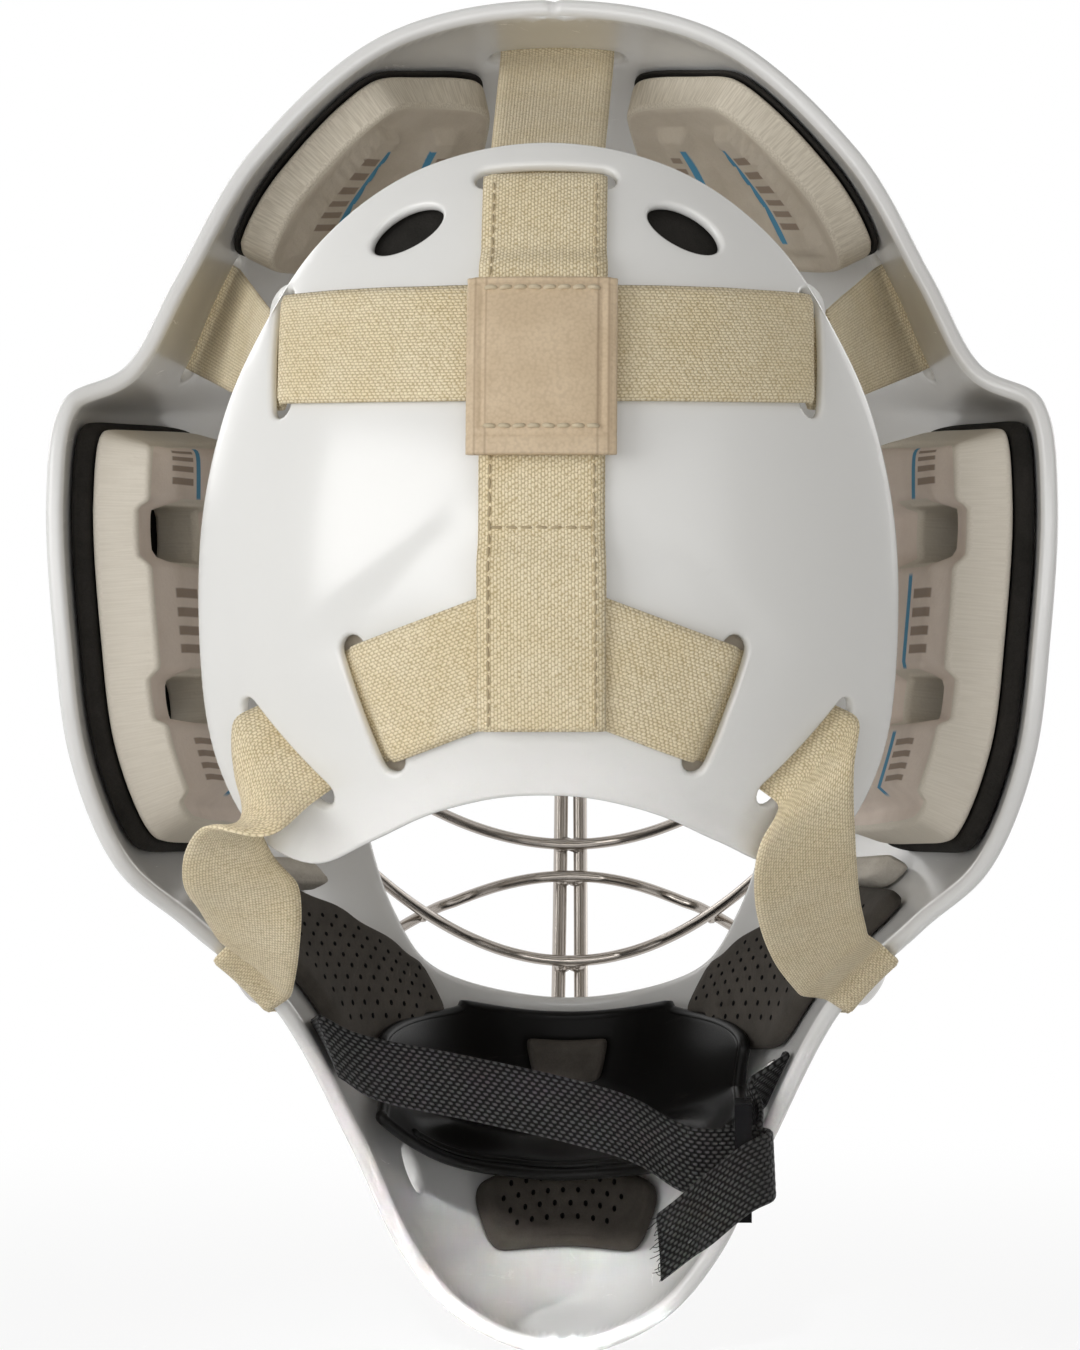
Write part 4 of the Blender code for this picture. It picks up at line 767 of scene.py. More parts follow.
def moulding(name, look):
    made, tree, shader, place, wear = worn(name, look, **{"IOR": 1.48, "Specular IOR Level": look["specular"]})
    tree.links.new(mixColor(tree, wear["Scuff"], look["color"], look["scuff"]), shader.inputs["Base Color"])
    bump(tree, shader, noise(tree, place, look["grain"], 3.0), look["relief"], 0.15 * mm)
    return made


def metal(name, look):
    made, tree, shader, place, wear = worn(name, look, Metallic=1.0)
    tree.links.new(mixColor(tree, wear["Haze"], look["color"], look["tarnish"]), shader.inputs["Base Color"])
    bump(tree, shader, noise(tree, place, look["drawn"], 4.0), look["relief"], 0.08 * mm)
    return made


def fabric(name, look):
    made, tree, shader, place = material(name, look["rough"], **{
        "Sheen Weight": look["sheen"], "Sheen Roughness": 0.5, "IOR": 1.45, "Specular IOR Level": look["specular"]})
    uv = weaveUv(tree)
    ribs = useGroup(tree, weave, Along=uv[0], Across=uv[1], Rib_Length=look["ribLength"],
                    Rib_Width=look["ribWidth"], Unevenness=look["uneven"], Step=look["step"], Gap=look["gapLevel"],
                    Position=place)
    # painted shade: the gap colour darkens the low parts of the weave between the ribs, the yarn colour lightens their
    # tops
    color = mixColor(tree, ribs["Shade"], look["gap"], look["yarn"])
    clouds = ramp(tree, noise(tree, place, 70.0, 5.0), 0.35, 0.7)
    tree.links.new(mixColor(tree, clouds, color, look["soil"], "MULTIPLY"), shader.inputs["Base Color"])
    bump(tree, shader, ribs["Height"], look["relief"], look["depth"])
    return made


def tanLeather(name, look):
    made, tree, shader, place = material(name, look["rough"], IOR=1.45)
    cells = node(tree, "ShaderNodeTexVoronoi", {"Vector": place, "Scale": look["grain"]},
                 feature="SMOOTH_F1").outputs[0]
    clouds = noise(tree, place, 90.0, 6.0)
    color = mixColor(tree, ramp(tree, clouds, 0.35, 0.68), look["dark"], look["light"])
    color = mixColor(tree, ramp(tree, cells, 0.25, 0.75, 0.0, 0.24), color, look["pore"])
    aside = calc(tree, "ABSOLUTE", weaveUv(tree)[1])
    # painted shade: the pressed lines of the tab are darkened towards the pore colour
    for middle, half in look["creases"]:
        creaseShadeMask = window(tree, aside, middle - half, middle + half, half)
        color = mixColor(tree, calc(tree, "MULTIPLY", creaseShadeMask, look["creaseShade"]), color, look["pore"])
    tree.links.new(color, shader.inputs["Base Color"])
    bump(tree, shader, cells, look["relief"], 0.12 * mm)
    return made


def foam(name, look):
    made, tree, shader, place = material(name, look["rough"], **{"IOR": 1.4, "Specular IOR Level": 0.15})
    cells = useGroup(tree, foamCells, Position=place, Cell_Scale=look["cells"], Cloud_Scale=look["clouds"])
    color = mixColor(tree, ramp(tree, cells["Mottle"], 0.3, 0.7), look["dark"], look["light"])
    tree.links.new(color, shader.inputs["Base Color"])
    bump(tree, shader, cells["Height"], look["relief"], look["depth"])
    return made, tree, shader, color


def punchedFoam(name, look):  # painted shade: black inside its punched holes
    made, tree, shader, color = foam(name, look)
    holeShadeMask = ramp(tree, weaveUv(tree)[1], 2.0, 5.0)
    tree.links.new(mixColor(tree, holeShadeMask, color, look["paintedHoleShade"]), shader.inputs["Base Color"])
    return made


def printedFoam(name, look):  # streaked cut sides, and plain bars and lines printed on the face
    made, tree, shader, color = foam(name, look)
    uv = weaveUv(tree)
    for s0, s1, t0, t1, count in look["bars"]:
        share = calc(tree, "FRACT", calc(tree, "MULTIPLY", calc(tree, "SUBTRACT", uv[1], t0), count / (t1 - t0)))
        bars = calc(tree, "MULTIPLY", window(tree, share, 0.2, 0.7, 0.05), window(tree, uv[0], s0, s1, 0.012))
        bars = calc(tree, "MULTIPLY", bars, window(tree, uv[1], t0, t1, 0.004))
        color = mixColor(tree, calc(tree, "MULTIPLY", bars, look["barInk"]), color, look["barColor"])
    for s0, s1, t0, t1 in look["lines"]:
        line = calc(tree, "MULTIPLY", window(tree, uv[0], s0, s1, 0.006), window(tree, uv[1], t0, t1, 0.01))
        color = mixColor(tree, calc(tree, "MULTIPLY", line, look["lineInk"]), color, look["lineColor"])
    streak = node(tree, "ShaderNodeCombineXYZ", {0: uv[0], 1: calc(tree, "MULTIPLY", uv[1], 0.0004)}).outputs[0]
    streaks = ramp(tree, noise(tree, streak, look["streaks"], 4.0), 0.35, 0.65)
    onCut = ramp(tree, calc(tree, "ABSOLUTE", uv[1]), 4.0, 6.0)
    color = mixColor(tree, onCut, color, mixColor(tree, streaks, look["cutDark"], look["cutLight"]))
    tree.links.new(color, shader.inputs["Base Color"])
    return made


gloss = dict(coatRough=0.20, hazeRough=0.10, scuffRough=0.18, scuffShare=0.35)
shellPaint = glossWhite("shellPaint", dict(
    gloss, color=(0.80, 0.80, 0.79), shade=(0.74, 0.74, 0.73), scuff=(0.52, 0.51, 0.49), rough=0.24, coat=0.4,
    wear=0.35, scuffScale=55.0, orangePeel=120.0, peelStrength=0.03))
platePlastic = glossWhite("platePlastic", dict(
    gloss, color=(0.83, 0.83, 0.81), shade=(0.79, 0.79, 0.77), scuff=(0.60, 0.59, 0.57), rough=0.22, coat=0.6,
    wear=0.22, scuffScale=70.0, orangePeel=90.0, peelStrength=0.02))
# gap: the painted shade between the ribs of each weave
elastic = fabric("creamElastic", dict(
    yarn=(0.99, 0.88, 0.65), gap=(0.62, 0.50, 0.29), soil=(0.96, 0.94, 0.89), rough=0.88, sheen=0.15, specular=0.3,
    step=0.382, gapLevel=0.05, ribLength=1.25 * mm, ribWidth=0.80 * mm, uneven=1.3, relief=0.5, depth=0.55 * mm))
webbingCloth = fabric("blackWebbing", dict(
    yarn=(0.060, 0.060, 0.060), gap=(0.003, 0.003, 0.003), soil=(0.92, 0.92, 0.92), rough=0.55, sheen=0.0,
    specular=0.12, step=0.5, gapLevel=0.45, ribLength=2.1 * mm, ribWidth=1.15 * mm, uneven=0.25, relief=0.9,
    depth=0.5 * mm))
sewing = dict(
    sheen=0.1, specular=0.3, step=0.5, gapLevel=0.1, ribLength=0.5 * mm, ribWidth=0.4 * mm, uneven=0.5, relief=0.5,
    depth=0.1 * mm)
thread = fabric("creamThread", dict(
    sewing, yarn=(0.80, 0.71, 0.52), gap=(0.50, 0.41, 0.26), soil=(0.95, 0.93, 0.9), rough=0.7))
paleThread = fabric("paleThread", dict(
    sewing, yarn=(0.86, 0.78, 0.62), gap=(0.62, 0.53, 0.38), soil=(0.96, 0.95, 0.92), rough=0.6))
# creases: the tab's pressed lines, darkened in colour as painted shade
tabLeather = tanLeather("tabLeather", dict(
    light=(0.69, 0.55, 0.38), dark=(0.62, 0.485, 0.325), pore=(0.36, 0.25, 0.16), rough=0.5, grain=1300.0, relief=0.25,
    creases=((13.4 * mm, 0.25 * mm), (16.0 * mm, 0.25 * mm)), creaseShade=0.55))
mouldedBlack = dict(
    color=(0.006, 0.0057, 0.0054), scuff=(0.03, 0.029, 0.027), rough=0.30, hazeRough=0.22, scuffRough=0.0, wear=0.5,
    scuffScale=80.0, grain=1500.0, relief=0.12, specular=0.13)
blackMoulding = moulding("blackMoulding", mouldedBlack)
sliderPlastic = moulding("sliderPlastic", dict(
    mouldedBlack, color=(0.006, 0.006, 0.0065), rough=0.24, specular=0.03))
steel = dict(hazeRough=0.16, scuffRough=0.2, drawn=700.0)
cageWire = metal("cageWire", dict(
    steel, color=(0.46, 0.42, 0.38), tarnish=(0.34, 0.31, 0.28), rough=0.20, wear=0.6, scuffScale=120.0, relief=0.06))
brightSteel = metal("brightSteel", dict(
    steel, color=(0.62, 0.61, 0.59), tarnish=(0.46, 0.45, 0.43), rough=0.22, wear=0.5, scuffScale=140.0, relief=0.05))
charcoalFoam = foam("charcoalFoam", dict(
    light=(0.034, 0.031, 0.028), dark=(0.018, 0.017, 0.015), rough=0.85, cells=1100.0, clouds=60.0, relief=0.5,
    depth=0.3 * mm))[0]
paleFoam = foam("paleFoam", dict(
    light=(0.66, 0.62, 0.55), dark=(0.52, 0.48, 0.42), rough=0.85, cells=800.0, clouds=60.0, relief=0.5,
    depth=0.4 * mm))[0]
# the hole colour is painted shade: the punched holes are black inside
liner = dict(rough=0.8, cells=1000.0, clouds=80.0, relief=0.3, depth=0.2 * mm, paintedHoleShade=(0.004, 0.004, 0.004))
linerFoam = punchedFoam("darkLiner", dict(liner, light=(0.082, 0.073, 0.063), dark=(0.056, 0.050, 0.043)))
chinLinerFoam = punchedFoam("chinLiner", dict(liner, light=(0.078, 0.068, 0.058), dark=(0.052, 0.046, 0.039)))
beige = dict(  # bars: across from and to, along from and to, count; lines the same without the count
    light=(0.70, 0.63, 0.53), dark=(0.61, 0.54, 0.44), cutLight=(0.76, 0.70, 0.59), cutDark=(0.62, 0.56, 0.46),
    rough=0.82, cells=900.0, clouds=70.0, relief=0.3, depth=0.25 * mm, streaks=1900.0, bars=(), lines=(),
    barColor=(0.30, 0.225, 0.17), lineColor=(0.045, 0.30, 0.52), barInk=0.85, lineInk=0.9)
beigeFoam = printedFoam("beigeFoam", beige)
foreheadFoam = printedFoam("foreheadFoam", dict(
    beige, bars=((0.40, 0.68, -0.46, 0.50, 6), (-0.54, -0.42, -0.46, 0.50, 7)),
    lines=((0.29, 0.37, -0.52, 0.62), (-0.37, -0.29, -0.52, 0.62))))
# painted light: a lighter copy of the beige foam, its face lighter than its cut sides, making up for the plate's shadow
# on the side pads
sideFoam = printedFoam("sideFoam", dict(
    beige, light=(0.86, 0.76, 0.68), dark=(0.78, 0.68, 0.60), cutLight=(0.80, 0.745, 0.65), cutDark=(0.75, 0.695, 0.60),
    bars=[(0.22, 0.70, start, start + 0.28, 4) for start in (-0.88, -0.20, 0.48)],
    lines=[(0.06, 0.15, start, start + 0.36) for start in (-0.92, -0.24, 0.44)]))
print("materials made")


# shell

strap = dict(width=30 * mm, thickness=1.6 * mm, slot=6.6 * mm, spare=6 * mm, foot=-26 * mm, meet=-5 * mm,
             innerTail=5 * mm, spanGap=3.5 * mm, stitchInset=2.4 * mm, topSeam=(14 * mm, 48 * mm),
             footSeam=(78 * mm, 3 * mm), crossSeam=52 * mm)
slotShape = stadium(strap["width"] + strap["spare"], strap["slot"], 1.3 * mm)

cage = dict(
    rimRadius=2.5 * mm, crossRadius=1.6 * mm, uprightRadius=2.0 * mm, margin=9 * mm, front=154 * mm,
    middle=-27 * mm, spacing=4.9 * mm, shortOffset=34 * mm,
    bars={"cage_brow_arch": (37, -30, 62), "cage_eye_bar": (-27, 8, 60), "cage_mouth_bar": (-62, 13, 43),
          "cage_chin_bar": (-95, 14, 40)},  # height of the middle, rise at the span, half span, mm
    chinArch=(-71, -10, 39), passReach=9 * mm, rimEase=14 * mm, weldReach=5.6 * mm, beadShare=1.25,
    clipHeights=dict(upper=20, lower=-41), clipEase=0.5 * mm, clipSheet=1.5 * mm, clipEar=11 * mm, shank=2.0 * mm)
rimLift = cage["rimRadius"] + seatGap
screwReach = cage["rimRadius"] + cage["clipEase"] + cage["clipSheet"] + cage["clipEar"] / 2


def rimLoopOf(count):
    outline = mirroredOutline(shell["faceOutline"], count)
    run = unit(np.roll(outline, -1, axis=0) - np.roll(outline, 1, axis=0))
    spots = outline + np.stack([-run[:, 1], run[:, 0]], axis=1) * cage["margin"]
    u, v = frontSpot(spots[:, 0], spots[:, 1])
    return shellAt(u, v, np.full(count, -rimLift))


rimLoop = rimLoopOf(40)


def screwFrame(level, sign):  # foot of a clip's screw beside the rim wire, the wire's run, outward normal
    height = cage["clipHeights"][level] * mm
    pairs = [(a, b) for a, b in zip(rimLoop, np.roll(rimLoop, -1, axis=0)) if a[0] * sign > 0]
    start, end = min(pairs, key=lambda pair: abs((pair[0][2] + pair[1][2]) / 2 - height))
    middle, along = (start + end) / 2, unit(end - start)
    normal = shellNormal(*frontSpot(middle[0], middle[2]))
    normal = unit(normal - along * np.dot(along, normal))
    return middle - normal * rimLift + np.cross(along, normal) * screwReach, along, normal


def mirrored(pair, sign):
    return sign * pair[0], pair[1]


def makeShell():
    chart = ShellChart()
    v = np.linspace(0.03, lastStation - 0.03, 500)
    rim = np.vstack([chart.toMap(np.ones(len(v)), v), chart.toMap(-np.ones(len(v)), v[::-1])])
    holes = [holeLoop(chart, slotShape, crownFrame(), chart.toMap(0.0, shell["crownSlot"]))]
    outline = mirroredOutline(shell["faceOutline"], 260)
    face = chart.toMap(*frontSpot(outline[:, 0], outline[:, 1]))
    holes.append(evenLoop(face, shell["loopStep"]))
    screwHole = oval(*[2 * cage["shank"] + 2 * touchGap] * 2, 0.9 * mm)
    earHole = oval(*[shell["earHoleSize"]] * 2, 1.2 * mm)
    chinVent = oval(*shell["chinVentSize"], 1.2 * mm)
    for sign in sides.values():
        for shape, spot in ((slotShape, shell["templeSlot"]), (earHole, shell["earHole"]),
                            (chinVent, shell["chinVent"])):
            spot = mirrored(spot, sign)
            holes.append(holeLoop(chart, shape, shellFrame(*spot), chart.toMap(*spot)))
        for level in cage["clipHeights"]:
            foot = screwFrame(level, sign)
            near = chart.toMap(*frontSpot(foot[0][0], foot[0][2]))
            holes.append(holeLoop(chart, screwHole, foot, near))
    parts = trimmedSheet(chart, evenLoop(rim, shell["loopStep"]), holes, shell["wall"], shell["edge"],
                         shell["spacing"])
    parts.piece("maskShell", shellPaint, slot="gloss_white_shell", stands=["mask_shell"])


def alongPlate(x, z, runX, runZ):  # the direction on the plate with this x and z
    normal = plateNormal(x, z)
    return np.array((runX, -(runX * normal[0] + runZ * normal[2]) / normal[1], runZ))


def makePlate():
    chart = PlateChart()
    rim = evenLoop(chart.toMap(plateEdge[:, 0], plateEdge[:, 1]), plate["loopStep"])
    vent = oval(*plate["ventSize"], 1.1 * mm)
    vRun = (strap["meet"] / mm - plate["vSlot"][1], plate["vSlot"][0])
    ventRun = (-cos(plate["ventSlope"]), sin(plate["ventSlope"]))
    pairs = ((plate["sideSlot"], (0, 1), slotShape), (plate["vSlot"], vRun, slotShape),
             (plate["lateralSlot"], plate["lateralRun"], slotShape), (plate["vent"], ventRun, vent))
    spots = [((0, plate["topSlot"] / mm), (1, 0), slotShape)]
    for sign in sides.values():
        spots += [(mirrored(spot, sign), mirrored(run, sign), shape) for spot, run, shape in pairs]
    holes = []
    for spot, run, shape in spots:
        x, z = (value * mm for value in spot)
        frameOf = platePoint(x, z, 0.0), unit(alongPlate(x, z, *run)), plateNormal(x, z)
        holes.append(holeLoop(chart, shape, frameOf, chart.toMap(x, z)))
    parts = trimmedSheet(chart, rim, holes, plate["wall"], plate["edge"], plate["spacing"])
    parts.piece("backPlate", platePlastic, "back_plate", "gloss_white_plate", ["back_plate"])


makeShell()
print("shell cut and thickened")
makePlate()
print("back plate cut and thickened")


# harness

onPlate = seatGap + strap["thickness"] / 2
underPlate = -plate["wall"] - onPlate
overStrap = onPlate + strap["thickness"] + seatGap
slotLead = 0.25 * strap["slot"]
onShell = -(seatGap + strap["thickness"] / 2)
tab = dict(width=34 * mm, height=41 * mm, drop=7.5 * mm, thickness=2.2 * mm, groove=0.55 * mm, grooveInset=0.79,
           grooveWidth=0.035, rimInset=0.94, rimWidth=0.03, endInset=1.2 * mm, endWidth=0.5 * mm, crown=0.35 * mm,
           stitchInset=2.9 * mm, stitchEnd=3 * mm, stitch=dict(stitch, length=2.9 * mm, radius=0.62 * mm))


def plateRow(x, z, sideX, sideZ, height, width):
    reach = width / 2 / np.linalg.norm(alongPlate(x, z, sideX, sideZ))
    shares = np.array((-reach, 0, reach))
    return plateAt(x + sideX * shares, z + sideZ * shares, np.full(3, height))


def plateRows(path, width):
    rows = []
    for k, (x, z, height) in enumerate(path):
        before, after = path[max(k - 1, 0)], path[min(k + 1, len(path) - 1)]
        rows.append(plateRow(x, z, before[1] - after[1], after[0] - before[0], height, width))
    return rows


def surfaceRun(x, z, runX, runZ):
    run = unit(alongPlate(x, z, runX, runZ))
    return run[0], run[2]


def throughSlot(x, z, runX, runZ):
    dx, dz = surfaceRun(x, z, runX, runZ)
    heights = ((-slotLead, onPlate), (slotLead, underPlate), (slotLead + strap["innerTail"], underPlate))
    return [(x + dx * shift, z + dz * shift, height) for shift, height in heights]


def flipped(rows, sign):
    return np.asarray(rows, float) * np.array((sign, 1, 1))


def strapRow(middle, side):
    reach = unit(side) * strap["width"] / 2
    return np.stack([middle - reach, middle, middle + reach])


def shellRow(u, v, du, dv):
    step = 1e-3
    across = shellSkin(u + du * step, v + dv * step) - shellSkin(u - du * step, v - dv * step)
    pace = np.linalg.norm(across) / (2 * step)
    reach = strap["width"] / 2 / pace * np.array((-1, 0, 1))
    return shellAt(u + du * reach, v + dv * reach, np.full(3, onShell))


def slotRows(point, normal, run, side):
    run = unit(run - normal * np.dot(run, normal)) * strap["slot"] / 4
    below = point - run - normal * (shell["wall"] / 2 + strap["thickness"])
    above = point + run + normal * (shell["wall"] / 2 - onShell)
    return [strapRow(below, side), strapRow(above, side)]


def between(start, end, count):
    return [start * (1 - f) + end * f for f in np.arange(count) / count]


def fuzz(along, s):  # slight waviness of a worn elastic
    return 0.10 * mm * np.sin(along / (7 * mm) + 2.3 * s) + 0.05 * mm * np.sin(along / (2.7 * mm) - 3 * s)


def makeStrap(name, rows, body, stands, blendEnds=None, stitches=()):
    parts, face = ribbon(rows, strap["thickness"], fuzz)
    obj = parts.piece(name, elastic, body, "cream_elastic", [stands], ride=blendEnds is None)
    if blendEnds:
        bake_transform(obj)
    if stitches:
        sewn = Parts()
        for start, end in stitches:
            stitchRow(sewn, face, start, end)
        sewn.piece(name + "Stitches", thread, body, "cream_elastic")


def makePlateStraps():
    sideX, sideZ = (value * mm for value in plate["sideSlot"])
    clear = strap["slot"]
    right = throughSlot(sideX, sideZ, 1, 0)
    left = [(-x, z, height) for x, z, height in reversed(right)]
    middle = [(x, sideZ, onPlate) for x in np.linspace(-sideX + clear, sideX - clear, 40)]
    makeStrap("crossStrap", plateRows(left + middle + right, strap["width"]), "back_plate", "cross_strap")

    down = throughSlot(0, plate["topSlot"], 0, 1)[::-1]
    for z in np.linspace(plate["topSlot"] - clear, strap["foot"], 90):
        crossing = smooth((1.35 * strap["width"] / 2 - abs(z - sideZ)) / (3 * mm) + 0.5)
        foot = smooth((strap["meet"] + 0.8 * strap["width"] - z) / (6 * mm))
        down.append((0, z, onPlate + (overStrap - onPlate) * max(crossing, foot)))
    rows = plateRows(down, strap["width"])
    length = np.linalg.norm(np.diff(np.array(rows)[:, 1], axis=0), axis=1).sum()
    edge = strap["width"] / 2 - strap["stitchInset"]
    seams = [[length - fromFoot for fromFoot in strap["footSeam"]], strap["topSeam"]]
    lines = [((start, side * edge), (end, side * edge)) for start, end in seams for side in (-1, 1)]
    seam = length - strap["crossSeam"]
    lines.append(((seam, -edge), (seam, edge)))
    makeStrap("verticalStrap", rows, "back_plate", "vertical_strap", stitches=lines)

    vX, vZ = (value * mm for value in plate["vSlot"])
    runX, runZ = vX, vZ - strap["meet"]
    size = sqrt(runX ** 2 + runZ ** 2)
    meet = strap["width"] / 2 * abs(runZ) / size + seatGap
    path = [(runX * share, strap["meet"] + runZ * share, onPlate)
            for share in np.linspace(meet / runX, 1 - clear / size, 16)] + throughSlot(vX, vZ, runX, runZ)
    for side, sign in sides.items():
        rows = plateRows([(sign * x, z, height) for x, z, height in path], strap["width"])
        makeStrap("vStrap" + side.title(), rows, "back_plate", "v_strap_" + side)


def makeTab():
    sideZ = plate["sideSlot"][1] * mm - tab["drop"]
    height = overStrap + strap["thickness"] / 2 + seatGap + tab["thickness"] / 2
    path = [(0, z, height) for z in np.linspace(sideZ + tab["height"] / 2, sideZ - tab["height"] / 2, 40)]

    def embossed(along, s):  # a pressed line inside each long edge, and a softly raised middle
        line = np.exp(-((np.abs(s) - tab["grooveInset"]) / tab["grooveWidth"]) ** 2)
        rim = np.exp(-((np.abs(s) - tab["rimInset"]) / tab["rimWidth"]) ** 2)
        ends = np.minimum(along, tab["height"] - along)
        rim = np.maximum(rim, np.exp(-((ends - tab["endInset"]) / tab["endWidth"]) ** 2))
        pressed = np.maximum(line * (ends > 2 * tab["endInset"]), 0.7 * rim)
        return tab["crown"] * (1 - np.abs(s) ** 3) - tab["groove"] * pressed

    parts, face = ribbon(plateRows(path, tab["width"]), tab["thickness"], embossed, step=0.6 * mm, lanes=61, soften=1,
                         edge=0.07)
    parts.piece("keeperTab", tabLeather, "back_plate", "tan_tab", ["keeper_tab"])
    sewn = Parts()
    reach = tab["width"] / 2 - tab["stitchEnd"]
    for along in (tab["stitchInset"], tab["height"] - tab["stitchInset"]):
        stitchRow(sewn, face, (along, -reach), (along, reach), tab["stitch"])
    sewn.piece("keeperTabStitches", paleThread, "back_plate", "tan_tab")


def makeSpans():
    reach = slotLead + strap["innerTail"] + strap["spanGap"]
    point, wide, normal = crownFrame()
    _, dz = surfaceRun(0, plate["topSlot"], 0, 1)
    start = plateRow(0, plate["topSlot"] + dz * reach, 1, 0, underPlate, strap["width"])
    station = shell["crownSlot"]
    out = slotRows(point, normal, shellSkin(0, station + 0.1) - shellSkin(0, station), wide)
    rows = between(start, out[0], 8) + out
    rows += [shellRow(0.0, station + shift, 1, 0) for shift in (0.3, 0.4, 0.5, 0.6, 0.7)]
    makeStrap("topStrap", rows, "mask", "top_strap", (start[1], out[0][1]))

    sideX, sideZ = (value * mm for value in plate["sideSlot"])
    dx, _ = surfaceRun(sideX, sideZ, 1, 0)
    u, v = shell["templeSlot"]
    for side, sign in sides.items():
        point, down, normal = templeFrame(sign)
        start = plateRow(sign * (sideX + dx * reach), sideZ, 0, -1, underPlate, strap["width"])
        out = slotRows(point, normal, shellSkin(sign * (u - 0.05), v) - shellSkin(sign * u, v), down)
        rows = between(start, out[0], 9) + out
        rows += [shellRow(sign * (u - shift), v, 0, 1) for shift in (0.06, 0.085, 0.11, 0.135, 0.16)]
        makeStrap("upperSideStrap" + side.title(), rows, "mask", "upper_side_strap_" + side,
                  (start[1], out[0][1]))
        makeLowerStrap(side, sign)


lowerRuns = dict(  # free run from the plate to the jaw edge: points in mm and width directions, x outward
    right=(((64, -89, -47), (0.75, 0.1, 0.6)), ((64, -74, -62), (0.8, -0.1, 0.55)),
           ((67, -46, -77), (0.72, -0.4, 0.55)), ((72, -20, -88), (0.58, -0.62, 0.55))),
    left=(((72, -90, -45), (0.35, 0.75, 0.5)), ((77, -80, -54), (-0.45, 0.8, -0.2)),
          ((77, -62, -66), (-0.85, 0.2, -0.1)), ((77, -40, -78), (-0.75, 0.35, -0.35)),
          ((77, -20, -88), (-0.6, 0.6, -0.5))))


def makeLowerStrap(side, sign):
    x, z = (value * mm for value in plate["lateralSlot"])
    across = alongPlate(x, z, *plate["lateralRun"])
    dx, dz = surfaceRun(x, z, across[2], -across[0])
    dive = ((-slotLead - strap["innerTail"], underPlate), (-slotLead, underPlate), (slotLead, 2 * onPlate))
    ends = [plateRow(x + dx * shift, z + dz * shift, across[0], across[2], height, strap["width"])
            for shift, height in dive]
    station, run = shell["jawWrap"], lowerRuns[side]
    edge = np.linalg.norm(shellSkin(1.0, station - 0.1) - shellSkin(1.0, station + 0.1))
    middles = [ends[-1][1]] + [np.array(point) * mm for point, _ in run]
    widths = [unit(across)] + [np.array(width) for _, width in run]
    free = zip(splineThrough(middles, 24)[1:], splineThrough(widths, 24)[1:])
    rows = ends + [strapRow(m, w) for m, w in free]
    wrap = []  # round the jaw's edge, then up the outside
    for depth, shift in ((shell["wall"] + 1 * mm, 3 * mm), (onShell, 1 * mm)):
        v = station + np.array((1, 0, -1)) * strap["width"] / 2 * 0.2 / edge
        back = np.array((0, -seatGap - strap["thickness"] / 2 - shift, 0))
        wrap.append(shellAt(np.full(3, 0.995), v, np.full(3, depth)) + back)
    wrap += [shellRow(u, station, 0, -1) for u in (0.95, 0.92, 0.89, 0.86, 0.83, 0.80)]
    rows += [row[::-1] for row in wrap] if run[-1][1][0] < 0 else wrap
    rows = flipped(rows, sign)
    makeStrap("lowerSideStrap" + side.title(), rows, "mask", "lower_side_strap_" + side,
              (rows[len(ends)][1], rows[-len(wrap) - 1][1]))


makePlateStraps()
makeTab()
makeSpans()
print("harness laid")


# pads: die-cut foam laid on the inside of the shell and of the plate

inside = shell["wall"] + seatGap
padCut = dict(radius=0.14, windowRadius=0.12, loopStep=1.3 * mm, spacing=2.4 * mm, fill=0.9, holeEdge=0.3 * mm,
              holeMargin=2.6 * mm, holeShift=0.1 * mm, holeStretch=(1.0, 1.15))
pads = dict(  # place: reach across and along the shell's u and v; windows: the same within the pad
    forehead=dict(place=((0.22, 0.895), (1.16, 2.74)), corner=0.10, wall=9.4 * mm, backing=1.3 * mm, fillet=1.6 * mm,
                  swell=3.6 * mm, tabs=((-0.43, 0.19), (0.50, 0.25)), tabLength=0.74),
    side=dict(place=((0.62, 0.965), (5.08, 9.0)), corner=0.05, wall=11.5 * mm, backing=5.2 * mm, fillet=1.8 * mm,
              swell=8.0 * mm, step=3.4 * mm, windows=((-0.35, 0.60, -0.53, -0.29), (-0.35, 0.55, 0.15, 0.37))),
    jaw=dict(place=((0.40, 0.86), (9.72, 11.42)), corner=0.08, wall=8.5 * mm, fillet=1.5 * mm, swell=1.8 * mm,
             taper=5.2 * mm, pitch=6.4 * mm, rowShare=0.6, hole=0.48 * mm, spacing=2.2 * mm),
    cheek=dict(place=((0.50, 0.72), (9.15, 9.65)), corner=0.10, wall=6.5 * mm, fillet=1.8 * mm, swell=1.2 * mm),
    chinLiner=dict(place=((-0.45, 0.45), (12.62, 13.5)), corner=0.10, wall=5.4 * mm, fillet=2.0 * mm,
                   swell=1.3 * mm, taper=0.0, pitch=8.4 * mm, rowShare=0.62, hole=0.8 * mm, spacing=2.2 * mm),
    cup=dict(place=((-0.16, 0.16), (11.2, 11.70)), corner=0.06, wall=3.2 * mm, fillet=1.0 * mm, swell=0.6 * mm,
             spacing=1.8 * mm),
    vent=dict(half=(14, 11), wall=1.6 * mm, fillet=0.6 * mm, swell=0.3 * mm, radius=0.6, loopStep=1.2 * mm,
              spacing=2.4 * mm),
    plate=dict(upper=((0, 50), (42, 33), 0), lower=((0, -18), (54, 24), 1), wall=7.4 * mm, fillet=2.2 * mm,
               swell=1.4 * mm, radius=0.2, loopStep=1.4 * mm, spacing=3.0 * mm),
)


def softened(corners, radius):  # closed outline with every corner rounded
    corners = [np.array(corner, float) for corner in corners]
    loop = []
    for k, here in enumerate(corners):
        before, after = corners[k - 1], corners[(k + 1) % len(corners)]
        back, ahead = before - here, after - here
        reach = min(radius, 0.48 * np.linalg.norm(back), 0.48 * np.linalg.norm(ahead))
        a, b = here + unit(back) * reach, here + unit(ahead) * reach
        for t in np.linspace(0, 1, 6):
            loop.append(a * (1 - t) ** 2 + 2 * here * t * (1 - t) + b * t * t)
    return evenLoop(loop, 0.02)


